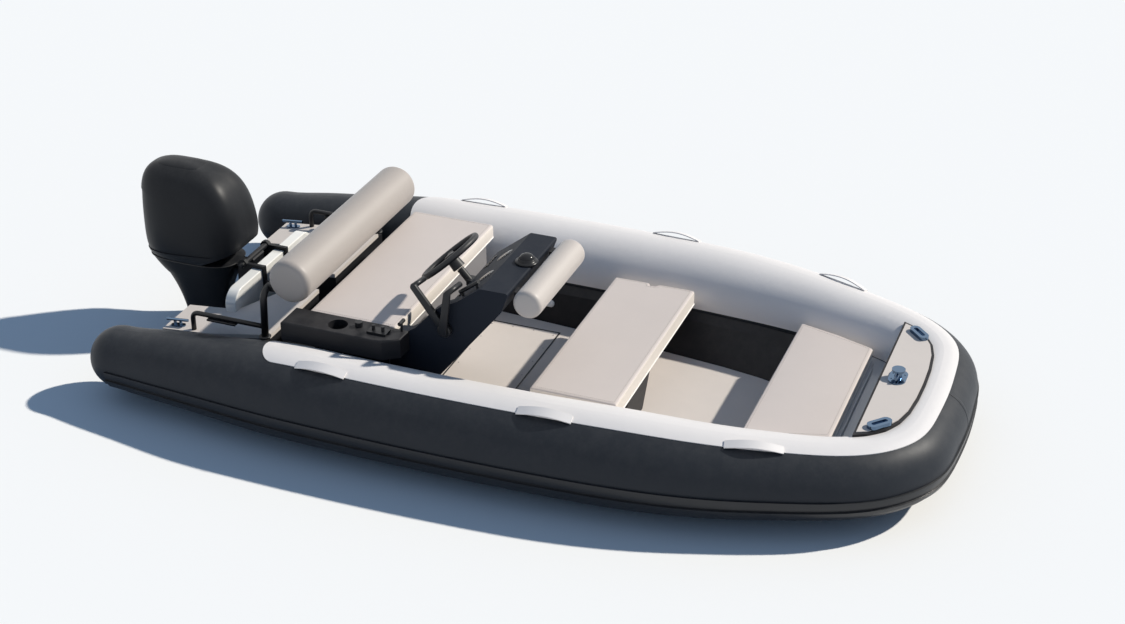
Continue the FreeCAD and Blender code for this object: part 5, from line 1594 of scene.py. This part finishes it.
@dataclass
class Outboard:
    """Seal, crown, latch, bolts, anode and nuts of the engine."""

    shop: Workshop
    seal_radius: float = 0.0032
    seal_drop: float = 0.0045
    seal_steps: int = 160
    crown_rings: tuple[Flat, ...] = ((1.006, -0.0012), (0.99, 0.0006), (0.90, 0.0046), (0.76, 0.0088),
                                     (0.58, 0.0122), (0.38, 0.0144), (0.18, 0.0154))
    boss_height: float = 0.706
    latch: tuple[float, float, float] = (0.345, 0.385, 0.402)
    pin: Point = (-1.530, 0.0, 0.398)
    pin_half: float = 0.1242
    bolt_x: float = -1.536
    bolt_side: float = 0.1166
    bolt_radius: float = 0.0075
    shaft_z: float = -0.325

    def build(self) -> None:
        """Make the engine's small pieces."""
        self._cowl_seal()
        self._crown()
        self._latch()
        self._clamp_bolts()
        self._gearcase_fittings()

    def _cowl_seal(self) -> None:
        """Lay the rubber seal between the cowl and the pan."""
        pan = Shapes.surface_of(frame["nodes"]["engine_pan"])
        low, high = map(Vector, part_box("engine_powerhead"))
        centre = Vector(((low.x + high.x) / 2, 0, low.z - self.seal_drop))
        path = []
        for way in Shapes.ring(Vector(), AHEAD, PORT, 1.0, self.seal_steps):
            hit, _, _, _ = pan.ray_cast(centre + way * 0.6, -way)
            if hit is not None:
                path.append(Vector((hit.x, hit.y, centre.z)))
        bm = bmesh.new()
        Shapes.tube(bm, path, self.seal_radius, 8, closed=True)
        self.shop.piece("cowl_seal", bm, "seal_rubber", "engine", "engine_casting")

    def _crown(self) -> None:
        """Dome the flat that closes the top of the cowl."""
        verts = frame["nodes"]["engine_cowl"].data.vertices
        top = max(v.co.z for v in verts)
        rim = {(round(v.co.x, 5), round(v.co.y, 5)): v.co.copy() for v in verts if v.co.z > top - 0.0004}
        centre = sum(rim.values(), Vector()) / len(rim)
        order = sorted(rim.values(), key=lambda p: math.atan2(p.y - centre.y, p.x - centre.x))
        bm = bmesh.new()
        Shapes.loft(bm, [[Vector((centre.x, centre.y, top + rise)) + (p - centre) * share for p in order]
                         for share, rise in self.crown_rings])
        self.shop.piece("cowl_crown", bm, "cowl_black", "engine", "cowl_black")

    def _latch(self) -> None:
        """Make the round boss on the cowl's aft face and the latch below it."""
        cowl = Shapes.surface_of(frame["nodes"]["engine_cowl"])
        foot, middle, head = self.latch
        boss, _, _, _ = cowl.ray_cast(Vector((-2.6, 0, self.boss_height)), AHEAD)
        seat, _, _, _ = cowl.ray_cast(Vector((-2.6, 0, middle)), AHEAD)
        bm = bmesh.new()
        if boss is not None:
            Shapes.lathe(bm, boss + AHEAD * 0.003, -AHEAD,
                         [(0.0, 0.015), (0.008, 0.015), (0.011, 0.012), (0.012, 0.006)], 28)
        if seat is not None:
            Shapes.rounded_box(bm, (seat.x - 0.008, -0.032, foot), (seat.x + 0.006, 0.032, head), 0.004)
        self.shop.piece("cowl_latch", bm, "seal_rubber", "engine", "engine_casting")

    def _clamp_bolts(self) -> None:
        """Make the tilt pin's end nuts, and the bolts that hold the clamp brackets to the transom."""
        pin = Vector(self.pin)
        bm = bmesh.new()
        places = []
        for side in (-1, 1):
            Shapes.lathe(bm, pin + PORT * (side * self.pin_half), PORT * side,
                         [(0.0, 0.0135), (0.006, 0.013), (0.008, 0.009)], 6)
            places += [(Vector((self.bolt_x, side * self.bolt_side, z)), PORT * side) for z in (0.235, 0.30)]
        self.shop.piece("tilt_pin_nuts", bm, "metal_black", "swivel", "metal_black")
        self.shop.screws("clamp_bolts", places, self.bolt_radius, "metal_black", "boat", "metal_black")

    def _gearcase_fittings(self) -> None:
        """Make the trim anode and the propeller's nut."""
        bm = bmesh.new()
        Shapes.lathe(bm, Vector((-2.035, 0, -0.1762)), -UP, [(0.0, 0.016), (0.012, 0.014), (0.014, 0.010)], 20)
        self.shop.piece("trim_anode", bm, "anode_zinc", "engine", "engine_casting")
        bm = bmesh.new()
        Shapes.lathe(bm, Vector((-2.0842, 0, self.shaft_z)), -AHEAD,
                     [(0.0, 0.017), (0.012, 0.016), (0.013, 0.008), (0.020, 0.0075), (0.021, 0.004)], 6)
        self.shop.piece("propeller_nut", bm, "stainless", "propeller", "prop_metal")


@dataclass
class Studio:
    """The camera that took the photograph, the pale stage and its plain light."""

    position: Point = (2.68842, -6.87610, 4.44284)
    yaw: float = -0.366498
    pitch: float = 0.502466
    roll: float = 0.0029907
    focal_px: float = 1855.868
    width_px: float = 1125.0
    sensor: float = 36.0
    floor_size: float = 40.0
    floor_colour: Colour = (0.93, 0.93, 0.92)
    fill_colour: Colour = (0.42, 0.64, 1.0)
    fill: float = 0.31
    sun_colour: Colour = (1.0, 0.950, 0.862)
    sun: float = 4.2
    sun_angle: float = 1.6
    sun_from: Point = (0.629, 0.441, 0.640)

    def build(self) -> None:
        """Make the camera, floor, world and lamp."""
        self._camera()
        self._floor()
        self._world()
        self._lamp()
        bpy.context.scene.view_settings.view_transform = "Standard"

    def _camera(self) -> None:
        """Place the camera from its solved angles."""
        cy, sy = math.cos(self.yaw), math.sin(self.yaw)
        cp, sp = math.cos(self.pitch), math.sin(self.pitch)
        cr, sr = math.cos(self.roll), math.sin(self.roll)
        ahead = Vector((sy * cp, cy * cp, -sp))
        right = Vector((cy, -sy, 0.0))
        up = right.cross(ahead)
        right, up = right * cr + up * sr, up * cr - right * sr
        data = bpy.data.cameras.new("view")
        data.sensor_width = self.sensor
        data.lens = self.focal_px / self.width_px * self.sensor
        data.clip_end = 200.0
        camera = Shapes.link("view", data)
        turn = Matrix((right, up, -ahead)).transposed().to_4x4()
        camera.matrix_world = Matrix.Translation(Vector(self.position)) @ turn
        bpy.context.scene.camera = camera

    def _floor(self) -> None:
        """Make the pale plane at the waterline."""
        bm = bmesh.new()
        bmesh.ops.create_grid(bm, x_segments=1, y_segments=1, size=self.floor_size)
        mesh = bpy.data.meshes.new("stage_floor")
        bm.to_mesh(mesh)
        bm.free()
        mat = bpy.data.materials.new("stage_floor")
        mat.use_nodes = True
        skin = mat.node_tree.nodes["Principled BSDF"]
        skin.inputs["Base Color"].default_value = (*self.floor_colour, 1.0)
        skin.inputs["Roughness"].default_value = 0.9
        skin.inputs["Specular IOR Level"].default_value = 0.0
        mesh.materials.append(mat)
        Shapes.link("stage_floor", mesh)

    def _world(self) -> None:
        """Light the boat evenly, with white where the camera, gloss or glass looks past it."""
        world = bpy.data.worlds.new("pale")
        world.use_nodes = True
        tree = world.node_tree
        tree.nodes.clear()
        out = tree.nodes.new("ShaderNodeOutputWorld")
        blend = tree.nodes.new("ShaderNodeMixShader")
        lights = ((*self.fill_colour, 1.0), self.fill), ((1.0, 1.0, 1.0, 1.0), 1.0)
        for slot, (colour, strength) in enumerate(lights, 1):
            sky = tree.nodes.new("ShaderNodeBackground")
            sky.inputs["Color"].default_value = colour
            sky.inputs["Strength"].default_value = strength
            tree.links.new(sky.outputs[0], blend.inputs[slot])
        path = tree.nodes.new("ShaderNodeLightPath")
        seen = path.outputs["Is Camera Ray"]
        for ray in ("Is Glossy Ray", "Is Transmission Ray"):
            either = tree.nodes.new("ShaderNodeMath")
            either.operation = "MAXIMUM"
            tree.links.new(seen, either.inputs[0])
            tree.links.new(path.outputs[ray], either.inputs[1])
            seen = either.outputs[0]
        tree.links.new(seen, blend.inputs[0])
        tree.links.new(blend.outputs[0], out.inputs[0])
        bpy.context.scene.world = world

    def _lamp(self) -> None:
        """Hang one soft key beyond the port bow."""
        data = bpy.data.lights.new("key", "SUN")
        data.energy = self.sun
        data.angle = math.radians(self.sun_angle)
        data.color = self.sun_colour
        key = Shapes.link("key", data)
        key.rotation_mode = "QUATERNION"
        key.rotation_quaternion = Vector(self.sun_from).normalized().to_track_quat("Z", "Y")


def dress_nodes(shop: Workshop) -> None:
    """Give every CAD node the material of its record slot; the console and the bench's front panel take other
    finishes, with painted sky reflection and painted shade.

    Args:
        shop: The workshop that holds the finishes.
    """
    painted_light_finishes = {"helm_console": "console_dark_painted_reflection", "bench_front_panel": "grey_and_painted_shade"}
    for part in frame["record"]["subparts"]:
        obj = frame["nodes"][part["node"]]
        material = shop.finishes.get(painted_light_finishes.get(part["node"], part["material_slot"]))
        obj.data.materials.clear()
        obj.data.materials.append(material)
        LOG.info("node %s wears %s", part["node"], material.name)


def main() -> None:
    """Build the scene in order: stage, finishes, padding, then fittings."""
    logging.basicConfig(level=logging.INFO, format="%(name)s %(message)s")
    Studio().build()
    shop = Workshop(Finishes(), Repeats())
    dress_nodes(shop)
    for group in (Upholstery, Helm, Levers, DeckFittings, BackrestRails, BenchTrim, Outboard):
        group(shop).build()


if __name__ == "__main__":
    main()
